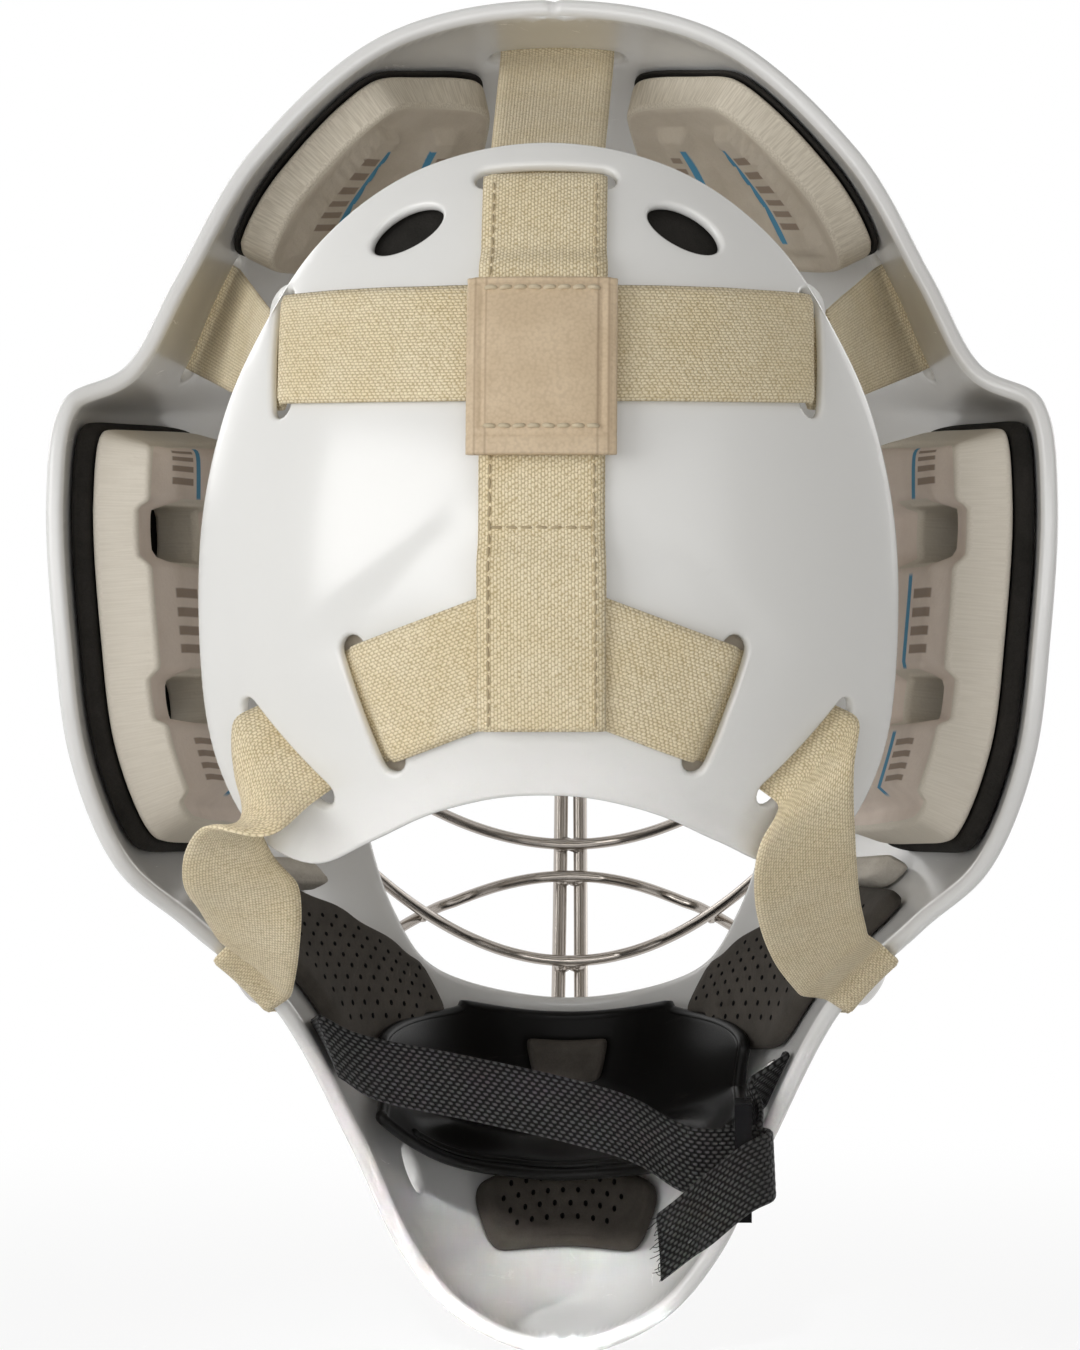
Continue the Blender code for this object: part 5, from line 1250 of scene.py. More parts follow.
square = ((-1, -1), (1, -1), (1, 1), (-1, 1))
jawOutline = ((0.06, -1), (1, -1), (1, 1), (-0.5, 1), (-0.5, 0.68), (-1, 0.68), (-1, -0.05), (-0.82, -0.12),
              (-0.74, -0.32), (-0.42, -0.48), (-0.34, -0.68), (-0.06, -0.80))


class PadChart(ShellChart):  # the shell's map at a pad's depth, with its own relief on the inner face
    def __init__(self, look, sign, base, wall, relief):
        super().__init__()
        (self.u0, self.u1), (self.v0, self.v1) = look["place"]
        self.corner, self.sign, self.base, self.wall, self.relief = look["corner"], sign, base, wall, relief

    def place(self, st):
        s, t = st[:, 0], st[:, 1]
        u = (self.u0 + self.u1) / 2 + (self.u1 - self.u0) / 2 * s * (1 - self.corner * t ** 4)
        v = (self.v0 + self.v1) / 2 + (self.v1 - self.v0) / 2 * t * (1 - self.corner * s ** 4)
        return self.toMap(self.sign * u, v)

    def uv(self, spots):
        u, v = self.fromMap(spots)
        return np.stack([(2 * self.sign * u - self.u0 - self.u1) / (self.u1 - self.u0),
                         (2 * v - self.v0 - self.v1) / (self.v1 - self.v0)], axis=-1)

    def at(self, spots, depth):
        u, v = self.fromMap(spots)
        st = self.uv(spots)
        extra = self.relief(st[..., 0], st[..., 1]) * np.clip(depth / self.wall, 0, 1)
        return shellAt(u, v, self.base + depth + extra)


def dome(s, t, power=6):
    return np.sqrt(np.clip((1 - np.abs(s) ** power) * (1 - np.abs(t) ** power), 0, 1))


def flatFace(s, t):
    return 0 * s


def padLoop(chart, outline, radius=padCut["radius"]):
    return evenLoop(chart.place(softened(outline, radius)), padCut["loopStep"])


def makePad(name, look, base, sign, material, slot, stands, relief=None, wall=None):
    wall = wall or look["wall"]
    shape = relief or (lambda s, t: look["swell"] * dome(s, t))
    chart = PadChart(look, sign, base, wall, shape)
    corners = [((a, c), (b, c), (b, d), (a, d)) for a, b, c, d in look.get("windows", ())]
    windows = [padLoop(chart, window, padCut["windowRadius"]) for window in corners]
    parts = trimmedSheet(chart, padLoop(chart, square), windows, wall, min(look["fillet"], wall * 0.45),
                         look.get("spacing", padCut["spacing"]), sideUv=True)
    parts.piece(name, material, "mask", slot, stands)


def punched(look, rim):  # staggered rows of punched holes, kept off the rim
    low, high = rim.min(axis=0), rim.max(axis=0)
    spots = []
    for j, y in enumerate(np.arange(low[1], high[1], look["pitch"] * look["rowShare"])):
        shift = look["pitch"] / 2 if j % 2 else 0
        spots += [(x + shift, y) for x in np.arange(low[0], high[0], look["pitch"])]
    spots = np.array(spots) + rng.uniform(-1, 1, (len(spots), 2)) * padCut["holeShift"]
    keep = insideLoop(spots, rim) & (nearestGap(spots, [rim]) > look["fillet"] + padCut["holeMargin"])
    turns = np.linspace(0, 2 * pi, 9, endpoint=False)
    ring = np.stack([np.cos(turns), np.sin(turns)], axis=1) * look["hole"]
    return [spot + ring * padCut["holeStretch"] for spot in spots[keep]]


def makePunchedPad(name, look, sign, material, stands, outline=square):
    def relief(s, t):  # crowned, and thinner towards the rim of the shell
        return look["swell"] * dome(s, t) - look["taper"] * smooth((s + 0.5) / 1.4)

    chart = PadChart(look, sign, inside, look["wall"], relief)
    rim = padLoop(chart, outline)
    parts = trimmedSheet(chart, rim, punched(look, rim), look["wall"], look["fillet"], look["spacing"],
                         holeEdge=padCut["holeEdge"], sideUv=True)
    parts.piece(name, material, "mask", "dark_liner", stands)


def foreheadRelief(s, t):  # crowned face with two raised tabs
    look = pads["forehead"]
    tabs = 0.0
    for middle, reach in look["tabs"]:
        along = smooth((look["tabLength"] - np.abs(t - 0.05)) / 0.05)
        tabs = np.maximum(tabs, smooth((reach - np.abs(s - middle)) / 0.03 + 0.5) * along)
    return look["swell"] * (0.25 * dome(s, t) + 0.75 * tabs * dome(s, t, 10))


def sideRelief(s, t):  # three rounded blocks with hollows between them, stepped along the rear edge
    look = pads["side"]
    wave = np.abs(np.sin(1.5 * pi * (t + 1) + 0.35))
    blocks = smooth(4.5 * wave - 1.9)
    rise = look["step"] + (look["swell"] - look["step"]) * smooth((0.95 - s) / 0.35)
    ends = np.sqrt(np.clip((1 - np.abs(t) ** 8) * (1 - np.clip(-s, 0, 1) ** 8), 0, 1))
    return rise * ends * (0.10 + 0.90 * blocks)


def makeShellPads():
    layered = (("forehead", foreheadFoam, foreheadRelief), ("side", sideFoam, sideRelief))
    for side, sign in sides.items():
        label = side.title()
        for place, face, relief in layered:
            look = pads[place]
            makePad(place + "Backing" + label, look, inside, sign, charcoalFoam, "charcoal_foam",
                    [f"{place}_backing_{side}"], flatFace, look["backing"] - touchGap)
            makePad(place + "Pad" + label, look, inside + look["backing"] + touchGap, sign, face, "beige_foam",
                    [f"{place}_pad_{side}"], relief)
        makePunchedPad("jawPad" + label, pads["jaw"], sign, linerFoam, ["jaw_pad_" + side], jawOutline)
        makePad("cheekFoam" + label, pads["cheek"], inside, sign, paleFoam, "beige_foam", ["cheek_foam_" + side])
    makePunchedPad("chinLiner", pads["chinLiner"], 1, chinLinerFoam, ["chin_liner_pad"])


class PlatePadChart(PlateChart):  # the plate's map on its inner face, under so many layers of strap
    corner = 0.08

    def __init__(self, look, center, half, layers):
        self.center, self.half = np.array(center) * mm, np.array(half) * mm
        self.wall, self.swell = look["wall"], look["swell"]
        self.base = -plate["wall"] - seatGap - layers * (strap["thickness"] + seatGap)

    def place(self, st):
        s, t = st[:, 0], st[:, 1]
        x = self.center[0] + self.half[0] * s * (1 - self.corner * t ** 4)
        z = self.center[1] + self.half[1] * t * (1 - self.corner * s ** 4)
        return self.toMap(x, z)

    def uv(self, spots):
        x, z = self.fromMap(spots)
        return np.stack([(x - self.center[0]) / self.half[0], (z - self.center[1]) / self.half[1]], axis=-1)

    def at(self, spots, depth):
        x, z = self.fromMap(spots)
        st = np.clip(self.uv(spots), -1, 1)
        extra = self.swell * dome(st[..., 0], st[..., 1]) * np.clip(depth / self.wall, 0, 1)
        return plateAt(x, z, self.base - depth - extra)


def makePlatePad(name, look, center, half, layers, material, slot, stands=()):
    chart = PlatePadChart(look, center, half, layers)
    rim = evenLoop(chart.place(softened(square, look["radius"])), look["loopStep"])
    parts = trimmedSheet(chart, rim, [], look["wall"], look["fillet"], look["spacing"], sideUv=True)
    parts.piece(name, material, "back_plate", slot, stands)


def makePlatePads():
    look = pads["plate"]
    for level in ("upper", "lower"):
        makePlatePad("platePad" + level.title(), look, *look[level], beigeFoam, "beige_foam", ["plate_pad_" + level])
    look = pads["vent"]
    for side, sign in sides.items():  # thin dark foam behind each vent of the plate
        makePlatePad("ventLiner" + side.title(), look, mirrored(plate["vent"], sign), look["half"], 0, charcoalFoam,
                     "charcoal_foam")


makeShellPads()
makePlatePads()
print("pads cut")


# chin cup, chin strap and slider

cup = dict(spacer=7 * mm, wall=3 * mm, ledge=26 * mm, drop=18 * mm, cornerLift=0.55, top=11.0, foot=12.05,
           halfTop=0.34, halfFoot=0.75, halfSpacer=0.26, spread=1.5, rise=0.35, edgeShare=0.3, wallShare=0.55,
           rows=90, columns=110, rolled=0.15 * mm, bead=1.25 * mm, beadInset=(5, 7), pillow=3.0 * mm,
           rumple=0.3 * mm)


def cupPoint(s, t):  # s across from -1 to 1, t from the top edge down the wall and back along the ledge
    wall = np.minimum(t / cup["wallShare"], 1.0)
    back = np.maximum((t - cup["wallShare"]) / (1 - cup["wallShare"]), 0.0)
    half = cup["halfTop"] + (cup["halfFoot"] - cup["halfTop"]) * smooth(cup["spread"] * wall)
    edge = wall * s ** 2
    v = cup["top"] + (cup["foot"] - cup["top"]) * wall - cup["rise"] * edge
    near = 1 - (1 - cup["edgeShare"]) * edge ** 2
    point = shellAt(half * s, v, inside + cup["spacer"] * near + seatGap)
    point[..., 1] -= cup["ledge"] * back
    point[..., 2] -= cup["drop"] * np.sqrt(back) * (1 - cup["cornerLift"] * s ** 4)
    return point


def inwardNormals(grid, toward):
    normal = unit(np.cross(np.gradient(grid, axis=0), np.gradient(grid, axis=1)))
    flip = np.sum(normal * (toward - grid), axis=-1).mean() < 0
    return -normal if flip else normal


def eased(grid, passes):  # softens creases inside a grid, its border kept
    grid = grid.copy()
    for _ in range(passes):
        inner = (grid[:-2, 1:-1] + grid[2:, 1:-1] + grid[1:-1, :-2] + grid[1:-1, 2:]) / 4
        grid[1:-1, 1:-1] = 0.5 * grid[1:-1, 1:-1] + 0.5 * inner
    return grid


def makeCup():
    s, t = np.linspace(-1, 1, cup["columns"]), np.linspace(0, 1, cup["rows"])
    s, t = np.meshgrid(s, t)
    outer = eased(cupPoint(s, t), 10)
    normal = inwardNormals(outer, np.array((0, -0.2, 0.1)))
    ends = smooth((0.92 - np.abs(s)) / 0.2)
    pillow = cup["pillow"] * np.sin(pi * np.clip((t - 0.56) / 0.36, 0, 1)) ** 2 * ends
    rumple = cup["rumple"] * np.sin(9 * s + 2) * np.sin(11 * t) * smooth((t - 0.5) / 0.2)
    inner = outer + normal * (cup["wall"] + pillow + rumple)[..., None]
    rows, columns = cup["rows"], cup["columns"]
    count = rows * columns
    faces = gridFaces(rows, columns) + gridFaces(rows, columns, count)
    index = np.arange(count).reshape(rows, columns)
    rim = [*index[0], *index[1:, -1], *index[-1, -2::-1], *index[-2:0:-1, 0]]
    faces += [(a, b, b + count, a + count) for a, b in zip(rim, rim[1:] + rim[:1])]
    parts = Parts().add(np.vstack([outer.reshape(-1, 3), inner.reshape(-1, 3)]), faces)
    edge = (outer.reshape(-1, 3) + inner.reshape(-1, 3))[rim] / 2  # rolled edge all round, a second bead inside it
    parts.add(*tube(evenLoop(edge, 1.4 * mm), cup["wall"] / 2 + cup["rolled"], 12, closed=True))
    up, aside = cup["beadInset"]
    parts.add(*tube(inner[rows - up, aside:columns - aside], cup["bead"], 10))
    parts.piece("chinCup", blackMoulding, "mask", "black_moulding", ["chin_cup"])

    makePad("chinCupPad", pads["cup"], inside + cup["spacer"] + 2 * seatGap + cup["wall"], 1, linerFoam, "dark_liner",
            ["chin_cup_pad"])
    reach = (-cup["halfSpacer"], cup["halfSpacer"]), (cup["top"] + 0.1, cup["foot"] - 0.1)
    spacer = dict(place=reach, corner=0.0, wall=cup["spacer"] - 0.4 * mm, fillet=1.2 * mm, swell=0.0)
    makePad("chinCupSpacer", spacer, inside, 1, charcoalFoam, "charcoal_foam", ["chin_cup_spacer"])


belt = dict(width=18 * mm, thickness=1.6 * mm, leftStation=11.35, rightStation=11.6, inset=11 * mm, lap=4.5 * mm,
            slider=np.array((49, 17, -141.5)), sliderSlot=4.6, sliderBar=3.6, rivetRadius=5 * mm, rivetHeight=2.2 * mm)


def beltRows(points, widths, count):
    middles = splineThrough(np.array(points, float) * mm, count)
    across = splineThrough(np.array(widths, float), count)
    reach = unit(across) * belt["width"] / 2
    return [np.stack([m - r, m, m + r]) for m, r in zip(middles, reach)]


def anchorSpots(v):
    near = 0.9
    pace = np.linalg.norm(shellSkin(1.0, v) - shellSkin(near, v)) / (1 - near)
    return [1 - (belt["inset"] + shift) / pace for shift in (belt["lap"], 0, -belt["lap"])]


def beltOnWall(u, v):
    depth = shell["wall"] + seatGap + belt["thickness"] / 2
    step = 0.1
    pace = np.linalg.norm(shellSkin(u, v + step) - shellSkin(u, v - step)) / (2 * step)
    reach = belt["width"] / 2 / pace * np.array((-1, 0, 1))
    return shellAt(np.full(3, u), v + reach, np.full(3, depth))


def ribbed(along, s):
    return 0.08 * mm * np.sin(along / (1.05 * mm)) * np.cos(7.5 * pi * s)


def makeBelt(name, rows, body, stands, ride=True):
    parts, face = ribbon(rows, belt["thickness"], ribbed, step=0.9 * mm, lanes=25, edge=0.10)
    return parts.piece(name, webbingCloth, body, "black_webbing", [stands], ride=ride), face


def fray(face, name):  # loose yarns at the cut end of the strap
    end = np.array([onRibbon(face, face["along"][-1], a * face["width"] / 2)[0] for a in np.linspace(-0.9, 0.9, 16)])
    run = unit(face["grid"][-1, 0] - face["grid"][-4, 0])
    parts = Parts()
    for point in end:
        length = rng.uniform(0.8, 3.2) * mm
        sway = rng.normal(0, 0.5, 3)
        path = [point + run * length * f + sway * length * 0.6 * f * f for f in np.linspace(-0.4, 1, 6)]
        parts.add(*tube(path, 0.16 * mm * np.linspace(1, 0.5, 6), 5))
    parts.piece(name, webbingCloth, "chin_slider", "black_webbing")


def makeChinStrap():  # from the left wall to the slider, shortening as the slider runs
    x, y, z = belt["slider"]
    station = belt["leftStation"]
    points = [(-60, 17, -111.5), (-49, 14, -117), (-25, 15, -122), (2, 16, -128), (20, 18, -133.5), (x - 14, y, z),
              (x + 3.6, y, z)]
    widths = [(lean, 0, -1) for lean in (0.35, 0.25, 0.2, 0.15, 0.1, 0, 0)]
    free = beltRows(points, widths, 40)
    rows = [beltOnWall(-u, station) for u in anchorSpots(station)] + free
    piece, _ = makeBelt("chinStrap", rows, "mask", "chin_strap", ride=False)
    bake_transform(piece)


def makeStrapAnchor():  # from the slider's far bar to the right wall
    x, y, z = belt["slider"]
    station = belt["rightStation"]
    front = y + belt["sliderSlot"] + belt["sliderBar"]
    points = [(x - 5, front, z), (x + 3.6, front, z), (x + 4.6, front + 4.5, z + 3), (x + 3.6, front + 9.5, z + 7),
              (x, front + 14, z + 13)]
    widths = [(0, 0, -1), (0, 0, -1), (0, 0.25, -0.97), (-0.1, 0.35, -0.93), (-0.2, 0.5, -0.85)]
    onWall = [beltOnWall(u, station) for u in reversed(anchorSpots(station))]
    rows = beltRows(points, widths, 20) + onWall
    piece, _ = makeBelt("chinStrapAnchor", rows, "mask", "chin_strap_anchor", ride=False)
    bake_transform(piece)


def makeStrapTail():  # loose end, folded back over the slider
    shifts = ((4.2, 0, 0), (7, -2.6, -0.3), (7, -8.5, -1), (1, -12.4, -3.5), (-7, -12, -10), (-15, -10, -16.5),
              (-22, -9, -22))
    widths = [(0, 0, -1), (0.03, 0, -1), (0.06, 0, -1), (0.1, 0, -1), (0.12, -0.15, -0.97), (0.15, 0.3, -0.9),
              (0.06, 0.1, -1)]
    rows = beltRows(belt["slider"] + np.array(shifts), widths, 36)
    _, face = makeBelt("chinStrapTail", rows, "chin_slider", "chin_strap_tail")
    fray(face, "chinStrapFray")


rivetProfile = ((0, 1.0), (0.28, 0.99), (0.5, 0.93), (0.7, 0.8), (0.86, 0.58), (0.96, 0.34), (1, 0.14), (0.99, 0.02),
                (0.94, 0), (0, 0))


def scaledProfile(shares, radius, height):  # radii and heights of a turned head, its pole left open a hair
    return [(max(a, 1e-3) * radius, b * height) for a, b in shares]


def makeStrapRivets():
    profile = scaledProfile(rivetProfile, belt["rivetRadius"], belt["rivetHeight"])
    depth = shell["wall"] + 2 * seatGap + belt["thickness"]
    for side, sign in sides.items():
        v = belt[side + "Station"]
        u = sign * anchorSpots(v)[1]
        head = Parts().add(*turned(profile, (shellAt(u, v, np.array(depth)), -shellNormal(u, v))))
        head.piece("chinRivet" + side.title(), brightSteel, "mask", "fastener_steel", ["chin_strap_rivet_" + side])


makeCup()
makeChinStrap()
makeStrapAnchor()
makeStrapTail()
makeStrapRivets()
print("chin made")


# cage

rimSides = list(zip(rimLoop, np.roll(rimLoop, -1, axis=0)))
rimDense = np.array([a + (b - a) * k / 8 for a, b in rimSides for k in range(8)])


def cagePoint(x, z):  # the bowed cage over (x, z), in the layer of the cross bars
    dx, dz = x, z - cage["middle"]
    best = None
    for a, b in rimSides:
        ex, ez = b[0] - a[0], b[2] - a[2]
        cross = dx * ez - dz * ex
        if abs(cross) < 1e-12:
            continue
        ray = (a[0] * ez - (a[2] - cage["middle"]) * ex) / cross
        along = (a[0] * dz - (a[2] - cage["middle"]) * dx) / cross
        if ray > 0 and -1e-6 <= along <= 1 + 1e-6:
            best = (ray, a[1] + (b[1] - a[1]) * along)
    if best is None:
        return np.array((x, cage["front"], z))
    share = min(1 / best[0], 1.0)
    return np.array((x, best[1] + (cage["front"] - best[1]) * (1 - share ** 2), z))


def cageNormal(x, z):
    step = 1 * mm
    across = cagePoint(x + step, z) - cagePoint(x - step, z)
    up = cagePoint(x, z + step) - cagePoint(x, z - step)
    normal = unit(np.cross(up, across))
    return normal if normal[1] > 0 else -normal


def gapToRim(point):
    return np.linalg.norm(rimDense - point, axis=1).min()


def barHeight(shape, x):
    center, rise, span = (value * mm for value in shape)
    return center + rise * (x / span) ** 2


def barPoint(shape, x):
    z = barHeight(shape, x)
    point = cagePoint(x, z)
    if shape is not cage["chinArch"]:
        return point
    above = z - barHeight(cage["bars"]["cage_chin_bar"], x)  # the arch passes outside the chin bar
    lift = 2 * cage["crossRadius"] + touchGap
    return point + cageNormal(x, z) * lift * smooth(1.5 - above / cage["passReach"])


def halfSpan(shape):
    x = 0.0
    while x < cage["front"]:
        x += 0.1 * mm
        if gapToRim(barPoint(shape, x)) < cage["rimRadius"] + cage["crossRadius"] + touchGap:
            break
    return x


def rimHeight(x, upper):
    side = rimDense[(rimDense[:, 2] > cage["middle"]) == upper]
    return side[np.abs(side[:, 0] - x).argmin()][2]


def uprightPath(x, top, bottom, points):
    lift = cage["crossRadius"] + cage["uprightRadius"] + 2 * touchGap
    extra = cage["rimRadius"] - cage["crossRadius"]
    inset = 2 * cage["rimRadius"]
    path = []
    for z in np.linspace(top, bottom, points):
        nearRim = max(0.0, 1 - gapToRim(cagePoint(x, z)) / cage["rimEase"])
        level = min(max(z, rimHeight(x, False) + inset), rimHeight(x, True) - inset)
        path.append(cagePoint(x, z) + cageNormal(x, level) * (lift + extra * smooth(nearRim)))
    return splineThrough(path, 4 * points)


def makeWire(name, path, radius, stands, closed=False):
    radii = np.full(len(path), radius)
    if not closed:  # ends are ground round
        radii[0] = radii[-1] = radius * 0.8
    wire = Parts().add(*tube(path, radii, 20, closed=closed))
    wire.piece(name, cageWire, "mask", "cage_steel", [stands])
    return np.asarray(path)


def weldBead(parts, a, b, radius):  # a lumpy bead between two wires that cross
    middle, axis = (a + b) / 2, unit(b - a)
    x = unit(np.cross(axis, (0.2, 0.31, 0.93)))
    y = np.cross(axis, x)
    rings, rows, count = [], 9, 14
    reach = np.linalg.norm(b - a) / 2
    turns = np.linspace(0, 2 * pi, count, endpoint=False)
    lumps = 1 + 0.16 * np.sin(3 * turns + rng.uniform(0, 6)) + 0.08 * np.sin(5 * turns)
    for t in np.linspace(-0.98, 0.98, rows):
        r = radius * sqrt(1 - 0.75 * t * t) * lumps[:, None]
        rings.append(middle + axis * t * reach + r * (np.cos(turns)[:, None] * x + np.sin(turns)[:, None] * y))
    ends = [tuple(range(count)), tuple(range((rows - 1) * count, rows * count))]
    parts.add(np.vstack(rings), gridFaces(rows, count, wrap=True) + ends)


def makeCage():
    rim = evenLoop(closedSpline(rimLoop, 400), 2.2 * mm)
    wires = dict(rim=makeWire("cageRimWire", rim, cage["rimRadius"], "cage_rim_wire", closed=True))
    for name, shape in [*cage["bars"].items(), ("cage_chin_arch", cage["chinArch"])]:
        reach = halfSpan(shape)
        path = [barPoint(shape, x) for x in np.linspace(-reach, reach, 90)]
        label = "".join(word.title() for word in name.split("_")[1:])
        wires[name] = makeWire("cage" + label, path, cage["crossRadius"], name)
    brow = barHeight(cage["bars"]["cage_brow_arch"], cage["shortOffset"]) - cage["crossRadius"]
    for side, sign in sides.items():
        x = cage["spacing"] / 2
        path = uprightPath(sign * x, rimHeight(x, True), rimHeight(x, False), 18)
        wires["center" + side] = makeWire("cageCenterUpright" + side.title(), path, cage["uprightRadius"],
                                          "cage_center_upright_" + side)
        x = cage["shortOffset"]
        path = uprightPath(sign * x, rimHeight(x, True), brow, 8)
        wires["short" + side] = makeWire("cageShortUpright" + side.title(), path, cage["uprightRadius"],
                                         "cage_short_upright_" + side)
    welds, names = Parts(), list(wires)
    for i, one in enumerate(names):
        for other in names[i + 1:]:
            gaps = np.linalg.norm(wires[one][:, None] - wires[other][None], axis=2)
            for half in (wires[one][:, 0] < 0, wires[one][:, 0] >= 0):
                if not half.any():
                    continue
                part = np.where(half[:, None], gaps, 1.0)
                k, m = np.unravel_index(part.argmin(), part.shape)
                if part[k, m] < cage["weldReach"]:
                    weldBead(welds, wires[one][k], wires[other][m], cage["beadShare"] * cage["crossRadius"])
    welds.piece("cageWelds", cageWire, "mask", "cage_steel")


# clips, screws and snaps

fastener = dict(
    headRadius=3.8 * mm, headHeight=2.2 * mm, snapRadius=6.5 * mm, snapHeight=3.2 * mm, socket=0.42,
    bevel=0.35 * mm, sliderBevel=1.0 * mm,
    head=((1.0, 0.0), (1.0, 0.35), (0.97, 0.52), (0.90, 0.68), (0.80, 0.82), (0.68, 0.93), (0.56, 0.99), (0.46, 1.0)),
    snap=((0, 0.80), (0.30, 0.81), (0.36, 0.90), (0.45, 0.97), (0.55, 0.98), (0.70, 0.90), (0.82, 0.74),
          (0.92, 0.52), (0.98, 0.30), (1.0, 0.16), (0.99, 0.04), (0.95, 0), (0, 0)),
    crownSnap=1.54, templeSnap=0.11, jawSnap=0.855)


def dressNode(name, look, width):  # a rigid solid that stays as it is, its edges softened
    obj = nodes[name]
    obj.data.materials.clear()
    obj.data.materials.append(look)
    softener = obj.modifiers.new("edges", "BEVEL")
    softener.width, softener.segments, softener.limit_method = width, 3, "ANGLE"
    softener.angle_limit = radians(40)


def makeScrews():  # each with its clip
    foot, pole = seatGap + cage["clipSheet"] + touchGap, 1e-5
    r, h = fastener["headRadius"], fastener["headHeight"]
    socket, sunk = fastener["socket"] * r, -2 * shell["wall"]
    profile = [(pole, sunk), (cage["shank"], sunk), (cage["shank"], foot)]
    profile += [(a * r, foot + b * h) for a, b in fastener["head"]]
    profile += [(socket, foot + 0.97 * h), (socket * 0.96, foot + 0.35 * h), (pole, foot + 0.30 * h)]
    for level in cage["clipHeights"]:
        for side, sign in sides.items():
            spot, _, normal = screwFrame(level, sign)
            screw = Parts().add(*turned(profile, (spot, normal), 36))
            screw.piece("cageScrew" + level.title() + side.title(), brightSteel, "mask", "fastener_steel",
                        [f"cage_screw_{level}_{side}"], sharp=radians(50))
            dressNode(f"cage_clip_{level}_{side}", brightSteel, fastener["bevel"])


def makeSnaps():
    templeU, templeV = shell["templeSlot"]
    spots = {"crown_snap": (0.0, fastener["crownSnap"])}
    for side, sign in sides.items():
        spots["temple_snap_" + side] = (sign * (templeU - fastener["templeSnap"]), templeV)
        spots["jaw_snap_" + side] = (sign * fastener["jawSnap"], shell["jawWrap"])
    height = 2 * seatGap + strap["thickness"]
    profile = scaledProfile(fastener["snap"], fastener["snapRadius"], fastener["snapHeight"])
    for name, (u, v) in spots.items():
        cap = Parts().add(*turned(profile, (shellAt(u, v, np.array(-height)), shellNormal(u, v)), 48))
        label = "".join(word.title() for word in name.split("_"))
        cap.piece(label[0].lower() + label[1:], brightSteel, "mask", "fastener_steel", [name])


makeCage()
makeScrews()
dressNode("chin_strap_slider", sliderPlastic, fastener["sliderBevel"])
makeSnaps()
print("cage and fasteners made")


# stage, light and camera

view = dict(distance=1.54, aim=(-4 * mm, 0.0, -13.5 * mm), turn=radians(-1.75), rise=0.0, pixel=0.256 * mm,
            depth=1.5, imageHeight=1350, zoom=1.008, sensor=36.0)
stage = dict(ambient=0.20, ambientColor=(1.0, 0.95, 0.88), floorSize=4.0, floorColor=(0.86, 0.86, 0.86),
             shadowReach=(0.25, 0.9), whiteNear=0.88)


def makeCamera():
    lens = bpy.data.cameras.new("rearCamera")
    lens.sensor_width = view["sensor"]
    lens.lens = view["sensor"] * view["depth"] / (view["pixel"] * view["imageHeight"]) * view["zoom"]
    eye = bpy.data.objects.new("rearCamera", lens)
    bpy.context.scene.collection.objects.link(eye)
    a, e = view["turn"], view["rise"]
    aim = Vector(view["aim"])
    eye.location = aim + Vector((-sin(a) * cos(e), -cos(a) * cos(e), sin(e))) * view["distance"]
    eye.rotation_euler = (aim - eye.location).to_track_quat("-Z", "Y").to_euler()
    bpy.context.scene.camera = eye


def seenRays(tree):  # 1 where something is looked at, straight, mirrored or through glass
    rays = node(tree, "ShaderNodeLightPath").outputs
    seen = calc(tree, "MAXIMUM", rays["Is Camera Ray"], rays["Is Glossy Ray"])
    return calc(tree, "MAXIMUM", seen, rays["Is Transmission Ray"])


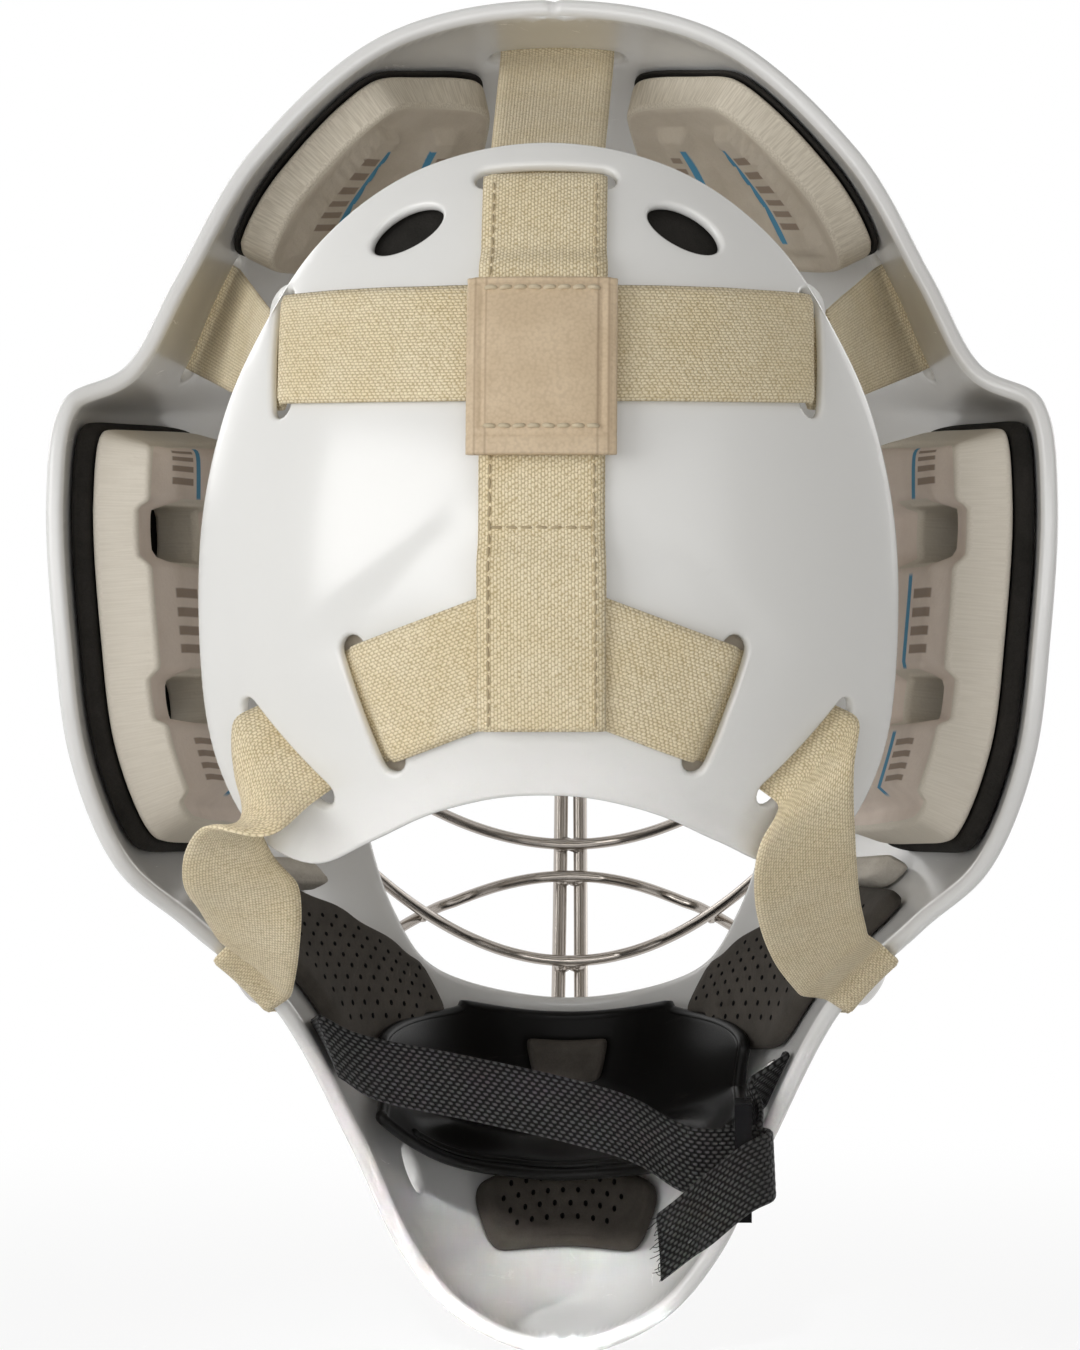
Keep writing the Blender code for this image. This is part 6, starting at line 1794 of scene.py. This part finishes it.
def paleFloor():  # white to the eye, darker in the shadow close by
    size, level = stage["floorSize"], cadLow.z - 1 * mm
    mesh = bpy.data.meshes.new("floor")
    mesh.from_pydata([(-size, -size, level), (size, -size, level), (size, size, level), (-size, size, level)], [],
                     [(0, 1, 2, 3)])
    made, tree, shader, place = material("paleFloor", 0.7)
    shader.inputs["Base Color"].default_value = opaque(stage["floorColor"])
    far = node(tree, "ShaderNodeVectorMath", {0: place}, operation="LENGTH").outputs["Value"]
    white = ramp(tree, far, *stage["shadowReach"], stage["whiteNear"], 1.0)
    glow = node(tree, "ShaderNodeEmission", {"Color": (1, 1, 1, 1), "Strength": 1.0})
    share = calc(tree, "MULTIPLY", seenRays(tree), white)
    both = node(tree, "ShaderNodeMixShader", {0: share, 1: shader.outputs[0], 2: glow.outputs[0]})
    tree.links.new(both.outputs[0], tree.nodes["Material Output"].inputs["Surface"])
    mesh.materials.append(made)
    floor = bpy.data.objects.new("floor", mesh)
    bpy.context.scene.collection.objects.link(floor)


def studioWorld():
    world = bpy.data.worlds.new("studio")
    bpy.context.scene.world = world
    world.use_nodes = True
    tree = world.node_tree
    seen, glow = seenRays(tree), tree.nodes["Background"]
    tree.links.new(mixColor(tree, seen, stage["ambientColor"], (1, 1, 1)), glow.inputs["Color"])  # white to the eye
    tree.links.new(plus(tree, stage["ambient"], seen, 1 - stage["ambient"]), glow.inputs["Strength"])


lamps = dict(  # place, aim, width and height in metres, watts, spread in degrees
    key=((-1.5, -1.4, -0.05), (0, 0, 0), (1.7, 1.8), 32.5, 180),
    fill=((1.3, -1.5, 0.1), (0, 0, 0), (0.8, 1.4), 2.5, 180),
    near=((0.0, -2.4, -0.1), (0, 0, -0.02), (1.6, 1.2), 15.5, 180),
    chin=((-0.1, -1.5, 0.45), (0, 0.06, -0.19), (0.14, 0.06), 0.05, 6),
    high=((0.0, -1.5, 1.9), (0, 0, -0.1), (1.6, 1.2), 2.5, 180),
    frontLeft=((-1.7, 1.3, 0.9), (0, 0, 0), (1.2, 1.2), 11.0, 180),
    frontRight=((1.7, 1.4, 0.6), (0, 0, 0), (1.2, 1.2), 8.0, 180))


def studioLamps():
    for name, (place, aim, size, power, spread) in lamps.items():
        light = bpy.data.lights.new(name, "AREA")
        light.shape, light.size, light.size_y, light.energy = "RECTANGLE", size[0], size[1], power
        light.spread = radians(spread)
        lamp = bpy.data.objects.new(name, light)
        bpy.context.scene.collection.objects.link(lamp)
        lamp.location = place
        lamp.rotation_euler = (Vector(aim) - Vector(place)).to_track_quat("-Z", "Y").to_euler()


makeCamera()
paleFloor()
studioWorld()
studioLamps()
bpy.context.scene.view_settings.view_transform = "Standard"
print("stage lit")
